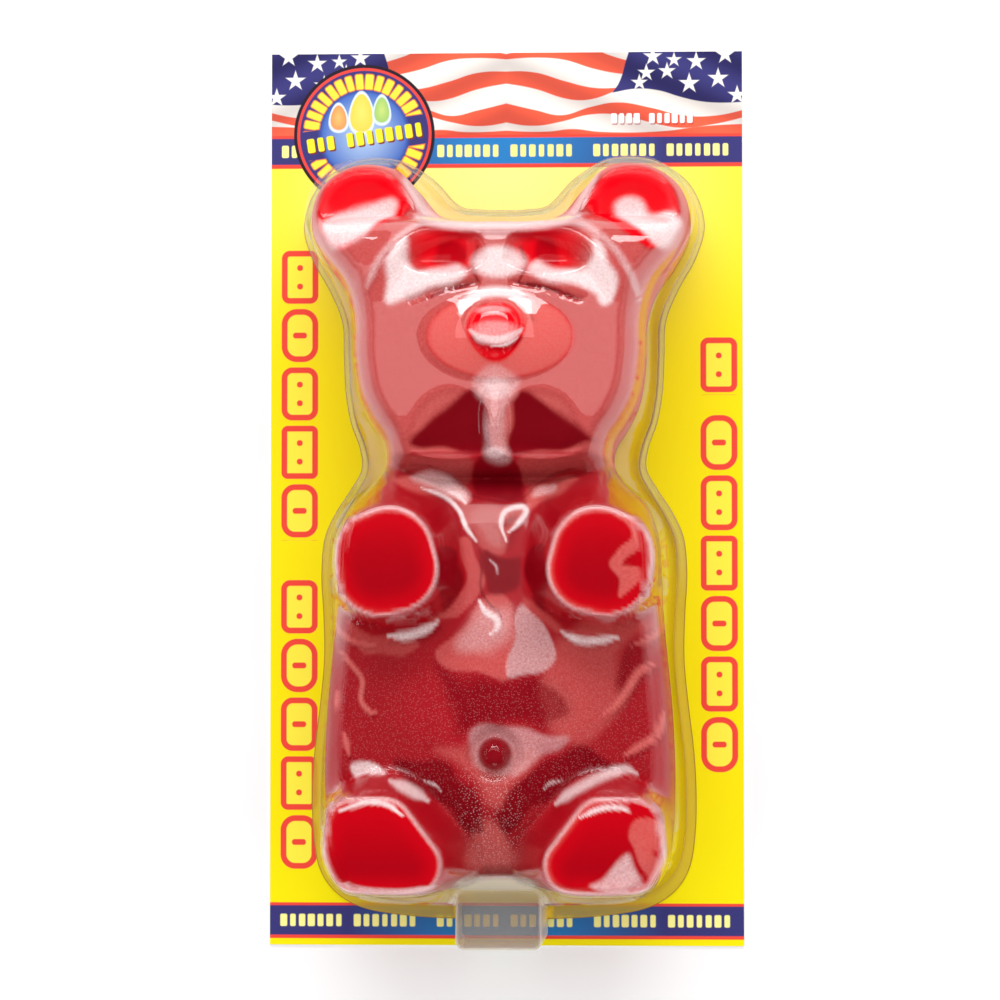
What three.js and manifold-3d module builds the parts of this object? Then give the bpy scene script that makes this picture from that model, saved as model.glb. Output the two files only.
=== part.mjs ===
// A giant gummy bear in its retail pack: a printed card, a clear thermoformed blister and the bear cast in one piece.
// Millimetres. The pack lies on its card: +Z up, the bear's face up, its head toward +Y. The origin is the middle of
// the card's underside. The bear and the blister are reliefs: one height over each point of the plan, no undercuts.
import * as THREE from "three";
import { mergeVertices } from "three/addons/utils/BufferGeometryUtils.js";
import Module from "manifold-3d";

const wasm = await Module();
wasm.setup();

// ---- driving dimensions ----
const CARD = { width: 162, length: 306, thickness: 0.8 };
const GAP = 0.3; // air between pieces that rest on each other
const FILM = 0.6; // thickness of the blister's film
const BLISTER_SHIFT = -0.8; // the blister was sealed a little left of the card's middle
const BACK = CARD.thickness + 0.6; // level of the bear's flat back
const FLANGE_LEVEL = CARD.thickness + GAP; // underside of the blister's flange

// One row for each station of the right half, from the feet up to the crown: the bear's outline, the flange's outer
// edge and the point on the bear's centre line that the station's row of the surface runs to.
const STATIONS = [
  { bear: [0, -129], flange: [0, -144], spine: -112 },
  { bear: [13, -130.5], flange: [17, -143.8], spine: -110 },
  { bear: [27, -133.2], flange: [33, -142.8], spine: -107.5 },
  { bear: [40, -133.6], flange: [48, -140.3], spine: -104.5 },
  { bear: [49.5, -130.5], flange: [57.5, -135], spine: -100.5 },
  { bear: [55, -123.5], flange: [63.2, -126.5], spine: -95.5 },
  { bear: [57.7, -113], flange: [65.3, -114], spine: -89 },
  { bear: [58.3, -100], flange: [65.6, -100], spine: -81 },
  { bear: [58.2, -86], flange: [64.8, -86], spine: -72 },
  { bear: [57.3, -70], flange: [62.9, -70], spine: -60 },
  { bear: [55.8, -54], flange: [61.6, -55], spine: -47 },
  { bear: [54.4, -39], flange: [61.9, -40], spine: -35 },
  { bear: [53.9, -26], flange: [62.6, -27], spine: -24.5 },
  { bear: [52.8, -14], flange: [61.6, -14.5], spine: -15 },
  { bear: [49, -4], flange: [57.8, -5.5], spine: -7 },
  { bear: [42, 3], flange: [52.6, 2.5], spine: 0 },
  { bear: [38.2, 9.5], flange: [48.9, 9.5], spine: 5 },
  { bear: [38.6, 16], flange: [49.6, 17], spine: 9 },
  { bear: [42.5, 22.5], flange: [52.6, 25.5], spine: 13 },
  { bear: [46.8, 32], flange: [54.4, 36], spine: 17 },
  { bear: [48.8, 45], flange: [55, 48], spine: 21 },
  { bear: [49, 57], flange: [55.6, 60], spine: 24.5 },
  { bear: [52, 68], flange: [60, 71], spine: 27.5 },
  { bear: [58.8, 78], flange: [66, 82], spine: 30 },
  { bear: [63.9, 90], flange: [68.8, 94], spine: 32 },
  { bear: [60.5, 103], flange: [63.5, 107.5], spine: 33.5 },
  { bear: [49, 110.5], flange: [51, 115.5], spine: 35 },
  { bear: [35.5, 109.5], flange: [36.5, 116], spine: 36.5 },
  { bear: [27.3, 102], flange: [24.5, 109.5], spine: 38 },
  { bear: [20, 93.8], flange: [15.5, 100.3], spine: 40 },
  { bear: [10.5, 91.6], flange: [7.5, 98.7], spine: 44 },
  { bear: [0, 91.5], flange: [0, 98.5], spine: 50 },
];

const SHOULDER = { body: 10, limb: 7 }; // how far inside the outline the rounded side reaches its full height
const TORSO = { y: -60, halfLength: 76, top: 70, sag: 5, halfWidth: 58, power: 4 };
const HEAD = { y: 48, halfLength: 45, top: 70, sag: 7, halfWidth: 49, power: 10 };
const BLEND = { neck: 20, ear: 5, limb: 2, limbRim: 2.5, ledge: 2 }; // widths over which neighbouring forms join
const EAR = { x: 44, y: 92, rim: 50, dishRadius: 16.5, dishDepth: 11, radius: 27, fall: 60, inner: 12, lower: 60 };
const BROW = { y: 62, halfWidth: 41, halfHeight: 25, width: 5, lift: 2.5, from: 60, full: 74 };
const EYE = { x: 17, y: 75, halfWidth: 14.5, above: 12, below: 5, depth: 7 };
const CREASE = { points: [[6, 66.8], [17, 64.8], [28, 61.3]], halfWidth: 2.5, depth: 1.5 };
const MUZZLE = { y: 49.5, halfWidth: 25, halfHeight: 15, lift: 5 };
const NOSE = { y: 51.5, radius: 10, lift: 4.5, narrowing: 0.3, narrowAt: 43, wideAt: 54 };
const CHEEK = { x: 14, y: 14, halfWidth: 15, above: 19, below: 4, depth: 4 };
const CHIN = { y: 22, halfWidth: 6, halfHeight: 17, lift: 2.5 };
const NAVEL = { y: -85.3, radius: 5.6, lift: 3.5, groove: 6, grooveWidth: 4, grooveDepth: 2 };
// Arms and legs stand up from the torso to flat faces. A face is a small polygon grown by `round`; its wall drops
// steeply on the outer side of the body and gently on the inner and head side.
const ARM = {
  corners: [[31.5, -26], [36, -27], [37, -22], [33, -20.5]],
  round: 14.2, level: 87, steep: 9, gentle: 2.4,
};
const LEG = {
  corners: [[25.5, -120], [46, -120], [44, -108], [34.5, -108]],
  round: 9.3, level: 87, steep: 9, gentle: 2.6,
};
const TAB = { halfWidth: 15, bottom: -151.5, top: -128, level: 45, round: 3.5, taper: 1.5 };
// Width of the flange, which changes over two spans of y: toward the head and toward the foot.
const FLANGE_WIDTH = { body: 3.3, head: 2.2, foot: 4.6, toHead: [-10, 20], toFoot: [-138, -118] };
// The blister's drafted side wall and the ledge above it; the wall takes at most this share of the way to the bear.
const WALL = { draft: 3.2, level: 40, ledge: 6, share: 0.7 };
const LIMB_INWARD = [-0.8, 0.6]; // direction in which a limb's wall is gentlest: the middle and the head

// ---- resolution ----
const ROWS = 54; // rows from feet to crown on each half
const INSETS = [0, 0.12, 0.6, 1.8, 4, 7.8]; // first nodes of a row, measured from the outline
const COLUMNS = 11; // even steps from the last inset to the spine
const OUTLINE_STEPS = 248; // sides of the outline that distances are measured to
const MERGE = 1e-3; // vertices closer than this are one

// ---- small helpers ----
const clamp = (v, lo, hi) => Math.min(Math.max(v, lo), hi);
const lerp = (a, b, t) => a + (b - a) * t;
const smoothMax = (a, b, k) => {
  const h = clamp(0.5 + (a - b) / (2 * k), 0, 1);
  return lerp(b, a, h) + k * h * (1 - h);
};
const smoothMin = (a, b, k) => -smoothMax(-a, -b, k);
/** A bowl: 1 in the middle, 0 at the rim of its ellipse. */
const bowl = (x, y, rx, ry) => Math.max(0, 1 - (x / rx) ** 2 - (y / ry) ** 2);
/** A smooth bump: as the bowl, but with no slope at its rim. */
const bump = (x, y, rx, ry) => bowl(x, y, rx, ry) ** 2;
/** A bump with a flat top and a steep rim. */
const plateau = (x, y, rx, ry) => Math.max(0, 1 - ((x / rx) ** 2 + (y / ry) ** 2) ** 3) ** 2;

/** A closed smooth curve through one column of the stations, mirrored to the left half. */
function outline(column) {
  const right = STATIONS.map((s) => s[column]);
  const left = right.slice(1, -1).reverse().map(([x, y]) => [-x, y]);
  const points = [...right, ...left].map(([x, y]) => new THREE.Vector3(x, y, 0));
  return new THREE.CatmullRomCurve3(points, true, "catmullrom", 0.5);
}
const bearOutline = outline("bear");
const flangeOutline = outline("flange");

function spineAt(t) {
  const at = (t < 0.5 ? t : 1 - t) * 2 * (STATIONS.length - 1);
  const i = Math.min(Math.floor(at), STATIONS.length - 2);
  return lerp(STATIONS[i].spine, STATIONS[i + 1].spine, at - i);
}

const SIDES = Array.from({ length: OUTLINE_STEPS }, (_, i) => bearOutline.getPoint(i / OUTLINE_STEPS));

/** Distance from a point to the nearest side of a chain of straight lines. */
function distanceTo(chain, x, y, closed = true) {
  let best = Infinity;
  for (let i = 0; i < chain.length - (closed ? 0 : 1); i++) {
    const [a, b] = [chain[i], chain[(i + 1) % chain.length]];
    const [dx, dy] = [b.x - a.x, b.y - a.y];
    const t = clamp(((x - a.x) * dx + (y - a.y) * dy) / (dx * dx + dy * dy), 0, 1);
    best = Math.min(best, Math.hypot(x - a.x - t * dx, y - a.y - t * dy));
  }
  return best;
}
const toPoints = (corners) => corners.map(([x, y]) => new THREE.Vector2(x, y));
const creaseLine = toPoints(CREASE.points);

/** Share of the full height on the rounded side, at a distance inside the outline: the fourth root of a circle. */
function side(distance, shoulder) {
  return (1 - (1 - clamp(distance / shoulder, 0, 1)) ** 2) ** 0.25;
}

/** Torso or head: square-shouldered along the bear, gently domed across it. */
function lobe({ y: cy, halfLength, top, sag, halfWidth, power }, x, y) {
  const along = clamp(Math.abs(y - cy) / halfLength, 0, 1) ** power;
  return top * Math.cbrt(1 - along) - sag * (x / halfWidth) ** 2;
}

/** A rounded dent that is steep below its middle and gentle above it. */
function dent({ x: cx, y: cy, halfWidth, above, below, depth }, ax, y) {
  return depth * bowl(ax - cx, y - cy, halfWidth, y > cy ? above : below);
}

/** Distance outside a limb's inner polygon, 0 inside it. */
function outsideOf(corners, x, y) {
  const points = toPoints(corners);
  const inside = points.every((a, i) => {
    const b = points[(i + 1) % points.length];
    return (b.x - a.x) * (y - a.y) - (b.y - a.y) * (x - a.x) >= 0;
  });
  return inside ? 0 : distanceTo(points, x, y);
}

/** An arm or leg standing up from the torso to its flat face. */
function limb({ corners, round, level, steep, gentle }, x, y, grow) {
  const outside = outsideOf(corners, x, y) - round - grow;
  const centre = corners.reduce((s, c) => [s[0] + c[0] / corners.length, s[1] + c[1] / corners.length], [0, 0]);
  const [dx, dy] = [x - centre[0], y - centre[1]];
  const inward = (dx * LIMB_INWARD[0] + dy * LIMB_INWARD[1]) / (Math.hypot(dx, dy) + 1e-6);
  const slope = lerp(steep, gentle, clamp(0.5 + inward, 0, 1));
  return smoothMin(level, level - slope * outside, BLEND.limbRim);
}

/** The dished ear, falling away outside its round rim. */
function earHeight(ax, y) {
  if (ax < EAR.inner || y < EAR.lower) return 0;
  const away = Math.hypot(ax - EAR.x, y - EAR.y);
  return EAR.rim - EAR.dishDepth * bowl(away, 0, EAR.dishRadius, 1) - EAR.fall * Math.max(0, away / EAR.radius - 1);
}

/** Height that brow, eyes, muzzle, nose, cheeks, chin and navel add to the lobes. */
function features(x, y) {
  const ax = Math.abs(x);
  const ring = Math.hypot(x / BROW.halfWidth, (y - BROW.y) / BROW.halfHeight);
  const brow = THREE.MathUtils.smoothstep(y, BROW.from, BROW.full) * bump(0, (ring - 1) * BROW.halfHeight, 1, BROW.width);
  const crease = Math.max(0, 1 - distanceTo(creaseLine, ax, y, false) / CREASE.halfWidth) ** 2;
  const narrow = 1 + NOSE.narrowing * (1 - THREE.MathUtils.smoothstep(y, NOSE.narrowAt, NOSE.wideAt));
  const groove = Math.hypot(x, y - NAVEL.y) - NAVEL.groove;
  return BROW.lift * brow - dent(EYE, ax, y) - CREASE.depth * crease
    + MUZZLE.lift * bowl(x, y - MUZZLE.y, MUZZLE.halfWidth, MUZZLE.halfHeight)
    + NOSE.lift * plateau(x * narrow, y - NOSE.y, NOSE.radius, NOSE.radius)
    - dent(CHEEK, ax, y) + CHIN.lift * bump(x, y - CHIN.y, CHIN.halfWidth, CHIN.halfHeight)
    + NAVEL.lift * plateau(x, y - NAVEL.y, NAVEL.radius, NAVEL.radius)
    - NAVEL.grooveDepth * bump(groove, 0, NAVEL.grooveWidth, 1);
}

/** Height of the bear at a point, `inset` from its outline; `grow` swells it evenly for the blister around it. */
function bearHeight(x, y, inset, grow = 0) {
  const ax = Math.abs(x);
  const body = smoothMax(lobe(TORSO, x, y), lobe(HEAD, x, y), BLEND.neck);
  let z = (smoothMax(body, earHeight(ax, y), BLEND.ear) + features(x, y)) * side(inset + grow, SHOULDER.body);
  for (const shape of [ARM, LEG])
    z = smoothMax(z, limb(shape, ax, y, grow) * side(inset + grow, SHOULDER.limb), BLEND.limb);
  return BACK + grow + z;
}

/** Plan positions of one row's nodes, from the outline to the spine. */
function rowNodes(t) {
  const start = bearOutline.getPoint(t);
  const end = new THREE.Vector3(0, spineAt(t), 0);
  const length = start.distanceTo(end);
  const last = INSETS.at(-1);
  const steps = [...INSETS, ...Array.from({ length: COLUMNS }, (_, i) => lerp(last, length, (i + 1) / COLUMNS))];
  return steps.map((d) => start.clone().lerp(end, d / length));
}
const rows = Array.from({ length: 2 * ROWS }, (_, i) => rowNodes(i / (2 * ROWS)));

/** A closed solid from rings of nodes: ring 0 is the rim on the flat underside, the last ring is the spine. */
function reliefSolid(rings, floor) {
  const count = rings[0].length;
  const positions = [];
  const face = (...points) => {
    const [a, b, c] = points;
    if (Math.min(a.distanceTo(b), b.distanceTo(c), c.distanceTo(a)) > MERGE / 10)
      positions.push(...a.toArray(), ...b.toArray(), ...c.toArray());
  };
  const onFloor = (p) => new THREE.Vector3(p.x, p.y, floor);
  for (let i = 0; i < count; i++) {
    const j = (i + 1) % count;
    for (let k = 0; k + 1 < rings.length; k++) {
      const [a, b, c, d] = [rings[k][i], rings[k][j], rings[k + 1][j], rings[k + 1][i]];
      if (2 * i < count) face(a, b, d), face(b, c, d);
      else face(a, b, c), face(a, c, d); // the left half mirrors the right one
    }
    const [a, b] = [rings[0][i], rings[0][j]];
    const [c, d] = [onFloor(rings.at(-1)[i]), onFloor(rings.at(-1)[j])];
    face(onFloor(b), onFloor(a), c);
    face(onFloor(b), c, d);
    if (a.z > floor + MERGE) {
      face(onFloor(a), onFloor(b), b);
      face(onFloor(a), b, a);
    }
  }
  const geometry = new THREE.BufferGeometry();
  geometry.setAttribute("position", new THREE.Float32BufferAttribute(positions, 3));
  return mergeVertices(geometry, MERGE);
}

function bearGeometry() {
  const rings = rows[0].map((_, k) =>
    rows.map((row) => {
      const { x, y } = row[k];
      const z = k === 0 ? BACK : bearHeight(x, y, distanceTo(SIDES, x, y));
      return new THREE.Vector3(x, y, z);
    }));
  return reliefSolid(rings, BACK);
}

/** Where the blister's wall meets its flange, beside the flange's outer edge. */
function wallFoot(t) {
  const p = flangeOutline.getPoint(t);
  const tangent = flangeOutline.getTangent(t);
  const inward = new THREE.Vector3(-tangent.y, tangent.x, 0);
  const toHead = THREE.MathUtils.smoothstep(p.y, ...FLANGE_WIDTH.toHead);
  const toFoot = 1 - THREE.MathUtils.smoothstep(p.y, ...FLANGE_WIDTH.toFoot);
  const width = lerp(FLANGE_WIDTH.body, FLANGE_WIDTH.head, toHead) + (FLANGE_WIDTH.foot - FLANGE_WIDTH.body) * toFoot;
  return p.addScaledVector(inward, width);
}

/** The blister's outer skin (`inward` 0) or its hollow (`inward` = film): the bear's relief, swollen, over a skirt. */
function domeGeometry(inward, floor) {
  const grow = GAP + FILM - inward;
  const feet = rows.map((_, i) => wallFoot(i / rows.length));
  const reaches = rows.map((row, i) => feet[i].distanceTo(row[0]));
  const drafts = reaches.map((reach) => Math.min(WALL.draft, WALL.share * reach));
  const skirt = (d, draft) =>
    FLANGE_LEVEL - inward + WALL.level * clamp(d / draft, 0, 1) + clamp(d - draft, 0, WALL.ledge);
  const skirtRings = [0, 0.5, 1].map((share) =>
    rows.map((row, i) => {
      const d = share * drafts[i];
      const p = feet[i].clone().lerp(row[0], (d + inward) / reaches[i]);
      return new THREE.Vector3(p.x, p.y, share === 0 ? floor : skirt(d, drafts[i]));
    }));
  const domeRings = rows[0].map((_, k) =>
    rows.map((row, i) => {
      const { x, y } = row[k];
      const inset = distanceTo(SIDES, x, y);
      const ledge = skirt(reaches[i] + inset - inward, drafts[i]);
      return new THREE.Vector3(x, y, smoothMax(bearHeight(x, y, inset, grow), ledge, BLEND.ledge));
    }));
  return reliefSolid([...skirtRings, ...domeRings], floor);
}

// ---- solids ----
function toSolid(geometry) {
  const bare = geometry.clone();
  bare.deleteAttribute("normal");
  bare.deleteAttribute("uv");
  const merged = mergeVertices(bare, MERGE);
  return new wasm.Manifold(new wasm.Mesh({
    numProp: 3,
    vertProperties: new Float32Array(merged.attributes.position.array),
    triVerts: new Uint32Array(merged.index.array),
  }));
}
function toGeometry(solid) {
  const mesh = solid.getMesh();
  const geometry = new THREE.BufferGeometry();
  geometry.setAttribute("position", new THREE.BufferAttribute(new Float32Array(mesh.vertProperties), 3));
  geometry.setIndex(new THREE.BufferAttribute(new Uint32Array(mesh.triVerts), 1));
  geometry.computeVertexNormals();
  return geometry;
}

/** The foot tab at the pack's lower edge, a rounded box with drafted sides; `inward` shrinks it to its hollow. */
function tabGeometry(inward, floor) {
  const section = (grow) => {
    const [w, lo, hi] = [TAB.halfWidth + grow - inward, TAB.bottom - grow + inward, TAB.top];
    const shape = new THREE.Shape();
    shape.moveTo(w, hi).lineTo(-w, hi).lineTo(-w, lo + TAB.round);
    shape.absarc(-w + TAB.round, lo + TAB.round, TAB.round, Math.PI, 1.5 * Math.PI);
    shape.absarc(w - TAB.round, lo + TAB.round, TAB.round, 1.5 * Math.PI, 2 * Math.PI);
    return shape.closePath().getPoints(3);
  };
  const level = TAB.level - inward;
  const lower = section(TAB.taper / 2);
  const upper = section(-TAB.taper / 2);
  const shapeTriangles = THREE.ShapeUtils.triangulateShape(lower.slice(0, -1), []);
  const n = lower.length - 1;
  const positions = [];
  const at = (points, i, z) => positions.push(points[i % n].x, points[i % n].y, z);
  for (let i = 0; i < n; i++) {
    at(lower, i, floor), at(lower, i + 1, floor), at(upper, i + 1, level);
    at(lower, i, floor), at(upper, i + 1, level), at(upper, i, level);
  }
  for (const [a, b, c] of shapeTriangles) {
    at(upper, a, level), at(upper, b, level), at(upper, c, level);
    at(lower, c, floor), at(lower, b, floor), at(lower, a, floor);
  }
  const geometry = new THREE.BufferGeometry();
  geometry.setAttribute("position", new THREE.Float32BufferAttribute(positions, 3));
  return mergeVertices(geometry, MERGE);
}

function flangeGeometry() {
  const edge = flangeOutline.getPoints(2 * ROWS).map((p) => new THREE.Vector2(p.x, p.y));
  const plate = new THREE.ExtrudeGeometry(new THREE.Shape(edge), { depth: FILM, bevelEnabled: false, steps: 1 });
  return plate.translate(0, 0, FLANGE_LEVEL);
}

function blisterGeometry() {
  const skin = toSolid(domeGeometry(0, FLANGE_LEVEL))
    .add(toSolid(tabGeometry(0, FLANGE_LEVEL)))
    .add(toSolid(flangeGeometry()));
  const hollow = toSolid(domeGeometry(FILM, FLANGE_LEVEL - 1)).add(toSolid(tabGeometry(FILM, FLANGE_LEVEL - 1)));
  return toGeometry(skin.subtract(hollow));
}

// ---- materials and scene ----
const material = (color, roughness, extra = {}) =>
  new THREE.MeshStandardMaterial({ color, roughness, metalness: 0, ...extra });
const printedCard = material("#f4e70a", 0.45);
const clearFilm = material("#f3efe6", 0.08, { transparent: true, opacity: 0.3 });
const gummy = material("#c00414", 0.25);

function place(name, geometry, finish, parent, x = 0, y = 0, z = 0) {
  const mesh = new THREE.Mesh(geometry, finish);
  mesh.name = name;
  mesh.position.set(x, y, z);
  parent.add(mesh);
  return mesh;
}

const pack = new THREE.Group();
const cardGeometry = new THREE.BoxGeometry(CARD.width, CARD.length, CARD.thickness);
place("card", cardGeometry, printedCard, pack, 0, 0, CARD.thickness / 2);
place("blister", blisterGeometry(), clearFilm, pack, BLISTER_SHIFT);
place("bear", bearGeometry(), gummy, pack, BLISTER_SHIFT);

export default pack;
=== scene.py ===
"""Looks of a giant gummy bear in its sealed retail pack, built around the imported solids.

The pack lies on its card with the bear's face up and its head toward +Y. Lengths are millimetres in the pack's
frame, and become metres where a mesh is made.
"""
import logging
import math
from dataclasses import dataclass
from enum import Enum
from typing import Any, Callable, Iterator, Optional, Union

import bmesh
import bpy
import numpy as np
from mathutils import Matrix, Vector


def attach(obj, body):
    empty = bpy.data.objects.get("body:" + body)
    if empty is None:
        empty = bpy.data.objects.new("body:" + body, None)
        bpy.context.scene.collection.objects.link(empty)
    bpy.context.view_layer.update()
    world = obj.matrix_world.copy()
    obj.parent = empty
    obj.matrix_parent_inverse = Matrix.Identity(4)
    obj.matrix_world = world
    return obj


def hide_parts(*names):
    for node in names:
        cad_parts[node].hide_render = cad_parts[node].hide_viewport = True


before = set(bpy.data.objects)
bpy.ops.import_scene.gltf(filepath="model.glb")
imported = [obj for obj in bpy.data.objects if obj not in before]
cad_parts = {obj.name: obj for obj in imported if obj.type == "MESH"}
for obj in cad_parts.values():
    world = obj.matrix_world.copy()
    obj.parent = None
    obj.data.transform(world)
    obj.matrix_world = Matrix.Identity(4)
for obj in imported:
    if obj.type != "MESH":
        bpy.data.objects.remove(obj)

log = logging.getLogger("pack")

MM = 0.001
Array = np.ndarray
Value = Union["Sock", float]
Colour = Point = tuple[float, float, float]

BLISTER_SHIFT = -0.8  # the blister and the bear sit a little left of the card's middle
CARD_THICKNESS = 0.8
BACK = CARD_THICKNESS + 0.6  # level of the bear's flat back
GAP = 0.3  # air between the bear and the film
FILM = 0.6  # thickness of the film
FLANGE_LEVEL = CARD_THICKNESS + GAP
NAVEL = -85.3  # place of the navel along the bear
GOLDEN = 0.618  # steps of this share of a turn scatter evenly
WHITE = (1, 1, 1, 1)
OUTLINE = np.arange(372) / 372  # parameters at which a closed outline is measured


def srgb(red: int, green: int, blue: int) -> Colour:
    """Returns the linear colour of an 8-bit screen colour."""
    return tuple(((c / 255 + 0.055) / 1.055) ** 2.4 if c > 10 else c / 255 / 12.92 for c in (red, green, blue))


# ---------------------------------------------------------------- numbers and fields

def lerp(a: Any, b: Any, share: Any) -> Any:
    """Returns the value a share of the way from a to b."""
    return a + (b - a) * share


def smoothstep(value: Any, low: float, high: float) -> Any:
    """Returns 0 below low, 1 above high and a smooth rise between."""
    t = np.clip((value - low) / (high - low), 0, 1)
    return t * t * (3 - 2 * t)


def smooth_max(a: Array, b: Array, width: float) -> Array:
    """Returns the larger value, rounded where the two are closer than width."""
    h = np.clip(0.5 + (a - b) / (2 * width), 0, 1)
    return lerp(b, a, h) + width * h * (1 - h)


def smooth_min(a: Array, b: Array, width: float) -> Array:
    """Returns the smaller value, rounded where the two are closer than width."""
    return -smooth_max(-a, -b, width)


def bump(x: Array, y: Array, rx: float, ry: float) -> Array:
    """Returns (1 - q) squared, with q the squared distance in ellipse radii: 1 in the middle, 0 at the rim."""
    return np.clip(1 - (x / rx) ** 2 - (y / ry) ** 2, 0, 1) ** 2


def plateau(x: Array, y: Array, rx: float, ry: float) -> Array:
    """Returns a bump with a flat top: q is cubed before it is taken from 1."""
    return np.clip(1 - ((x / rx) ** 2 + (y / ry) ** 2) ** 3, 0, 1) ** 2


def disc(x: Array, y: Array, radius: float) -> Array:
    """Returns 1 inside a circle round 0 and 0 outside it, with an edge 1.2 mm wide."""
    return np.clip((radius - np.hypot(x, y)) / 1.2, 0, 1)


def line_distance(points: Array, x: Array, y: Array, closed: bool = False) -> Array:
    """Distance from each place to a chain of straight lines.

    Args:
        points: Corners of the chain, one (x, y) row each.
        x: Places' x.
        y: Places' y.
        closed: Whether the last corner joins the first.

    Returns:
        The distance of each place to its nearest line.
    """
    ends = np.roll(points, -1, axis=0) if closed else points[1:]
    best = np.full(np.shape(x), np.inf)
    for (ax, ay), (bx, by) in zip(points, ends):
        dx, dy = bx - ax, by - ay
        t = np.clip(((x - ax) * dx + (y - ay) * dy) / (dx * dx + dy * dy + 1e-12), 0, 1)
        best = np.minimum(best, (x - ax - t * dx) ** 2 + (y - ay - t * dy) ** 2)
    return np.sqrt(best)


def polygon_distance(points: Array, x: Array, y: Array) -> Array:
    """Returns the distance to a closed polygon's border, negative inside it."""
    inside = np.zeros(np.shape(x), dtype=bool)
    for (ax, ay), (bx, by) in zip(points, np.roll(points, -1, axis=0)):
        crosses = (ay > y) != (by > y)
        inside ^= crosses & (x < (bx - ax) * (y - ay) / (by - ay + 1e-12) + ax)
    distance = line_distance(points, x, y, closed=True)
    return np.where(inside, -distance, distance)


def catmull(points: Array, t: Array) -> tuple[Array, Array]:
    """A closed Catmull-Rom curve, even in its parameter.

    Args:
        points: Its points, one (x, y) row each.
        t: Parameters from 0 to 1.

    Returns:
        The places on the curve and its directions there, of length 1.
    """
    count = len(points)
    at = (t * count) % count
    i = np.floor(at).astype(int)
    f = (at - i)[:, None]
    p0, p1, p2, p3 = (points[(i + k) % count] for k in (-1, 0, 1, 2))
    m1, m2 = (p2 - p0) / 2, (p3 - p1) / 2
    a, b = 2 * p1 - 2 * p2 + m1 + m2, -3 * p1 + 3 * p2 - 2 * m1 - m2
    place = ((a * f + b) * f + m1) * f + p1
    slope = (3 * a * f + 2 * b) * f + m1
    return place, slope / np.linalg.norm(slope, axis=1, keepdims=True)


def catmull_open(points: Array, steps: int) -> Array:
    """Returns places along an open Catmull-Rom curve, `steps` to each of its spans."""
    ends = np.vstack([2 * points[0] - points[1], points, 2 * points[-1] - points[-2]])
    t = (1 + np.arange((len(points) - 1) * steps + 1) / steps) / len(ends)
    return catmull(ends, t)[0]


# ---------------------------------------------------------------- meshes

def add_object(name: str, vertices: Array, faces: Array, smooth: bool = True) -> bpy.types.Object:
    """Makes a mesh object at the origin from millimetres, with doubled vertices merged.

    Args:
        name: The piece's name.
        vertices: One (x, y, z) row each.
        faces: Vertex numbers, one row each.
        smooth: Whether the faces are shaded smooth.

    Returns:
        The object, linked to the scene.
    """
    mesh = bpy.data.meshes.new(name)
    mesh.from_pydata(np.asarray(vertices) * MM, [], np.asarray(faces).tolist())
    work = bmesh.new()
    work.from_mesh(mesh)
    bmesh.ops.remove_doubles(work, verts=work.verts, dist=2e-6)
    bmesh.ops.dissolve_degenerate(work, edges=work.edges, dist=1e-6)
    work.to_mesh(mesh)
    work.free()
    mesh.polygons.foreach_set("use_smooth", np.full(len(mesh.polygons), smooth))
    piece = bpy.data.objects.new(name, mesh)
    bpy.context.scene.collection.objects.link(piece)
    return piece


def grid_faces(rows: int, columns: int, wrap: bool) -> Array:
    """Returns the quads of a grid of vertices numbered row by row, joined round the rows if wrap is set."""
    i = np.arange(rows if wrap else rows - 1)[:, None]
    k = np.arange(columns - 1)[None, :]
    j = (i + 1) % rows
    quads = np.stack([i * columns + k, j * columns + k, j * columns + k + 1, i * columns + k + 1], axis=-1)
    return quads.reshape(-1, 4)


def close_rows(name: str, grid: Array, ends: Array, floor: float) -> bpy.types.Object:
    """Makes a closed solid of rows that run in from an outline, with a flat underside.

    Args:
        name: The solid's name.
        grid: Rows of (x, y, z), from the bear's centre line.
        ends: The point (x, y) that each row runs to.
        floor: Level of the underside.

    Returns:
        The solid, moved to the blister's place on the card.
    """
    rows, columns = grid.shape[:2]
    under = np.column_stack([ends, np.full(rows, floor)])
    vertices = np.vstack([grid.reshape(-1, 3), under]) + (BLISTER_SHIFT, 0, 0)
    i = np.arange(rows)
    j = (i + 1) % rows
    back = np.column_stack([j * columns, i * columns, rows * columns + i, rows * columns + j])
    return add_object(name, vertices, np.vstack([grid_faces(rows, columns, True), back]))


def places(piece: bpy.types.Object) -> Array:
    """Returns a piece's vertices in millimetres, one row each."""
    flat = np.empty(len(piece.data.vertices) * 3)
    piece.data.vertices.foreach_get("co", flat)
    return flat.reshape(-1, 3) / MM


def write_attribute(piece: bpy.types.Object, name: str, values: Array) -> None:
    """Stores one number for each vertex under a name that a material reads."""
    attribute = piece.data.attributes.new(name, "FLOAT", "POINT")
    attribute.data.foreach_set("value", np.ascontiguousarray(values, dtype=np.float32))


def combine(piece: bpy.types.Object, tool: bpy.types.Object, operation: str) -> None:
    """Joins or cuts a piece with a tool solid, which is then removed."""
    modifier = piece.modifiers.new("combine", "BOOLEAN")
    modifier.operation, modifier.object, modifier.solver = operation, tool, "MANIFOLD"
    graph = bpy.context.evaluated_depsgraph_get()
    result = bpy.data.meshes.new_from_object(piece.evaluated_get(graph))
    piece.modifiers.clear()
    result.materials.clear()
    old, piece.data = piece.data, result
    bpy.data.meshes.remove(old)
    bpy.data.objects.remove(tool)


# ---------------------------------------------------------------- the bear's relief

class Column(Enum):
    """Which closed curve of the stations is meant."""

    BEAR = 0
    FLANGE = 1


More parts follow.
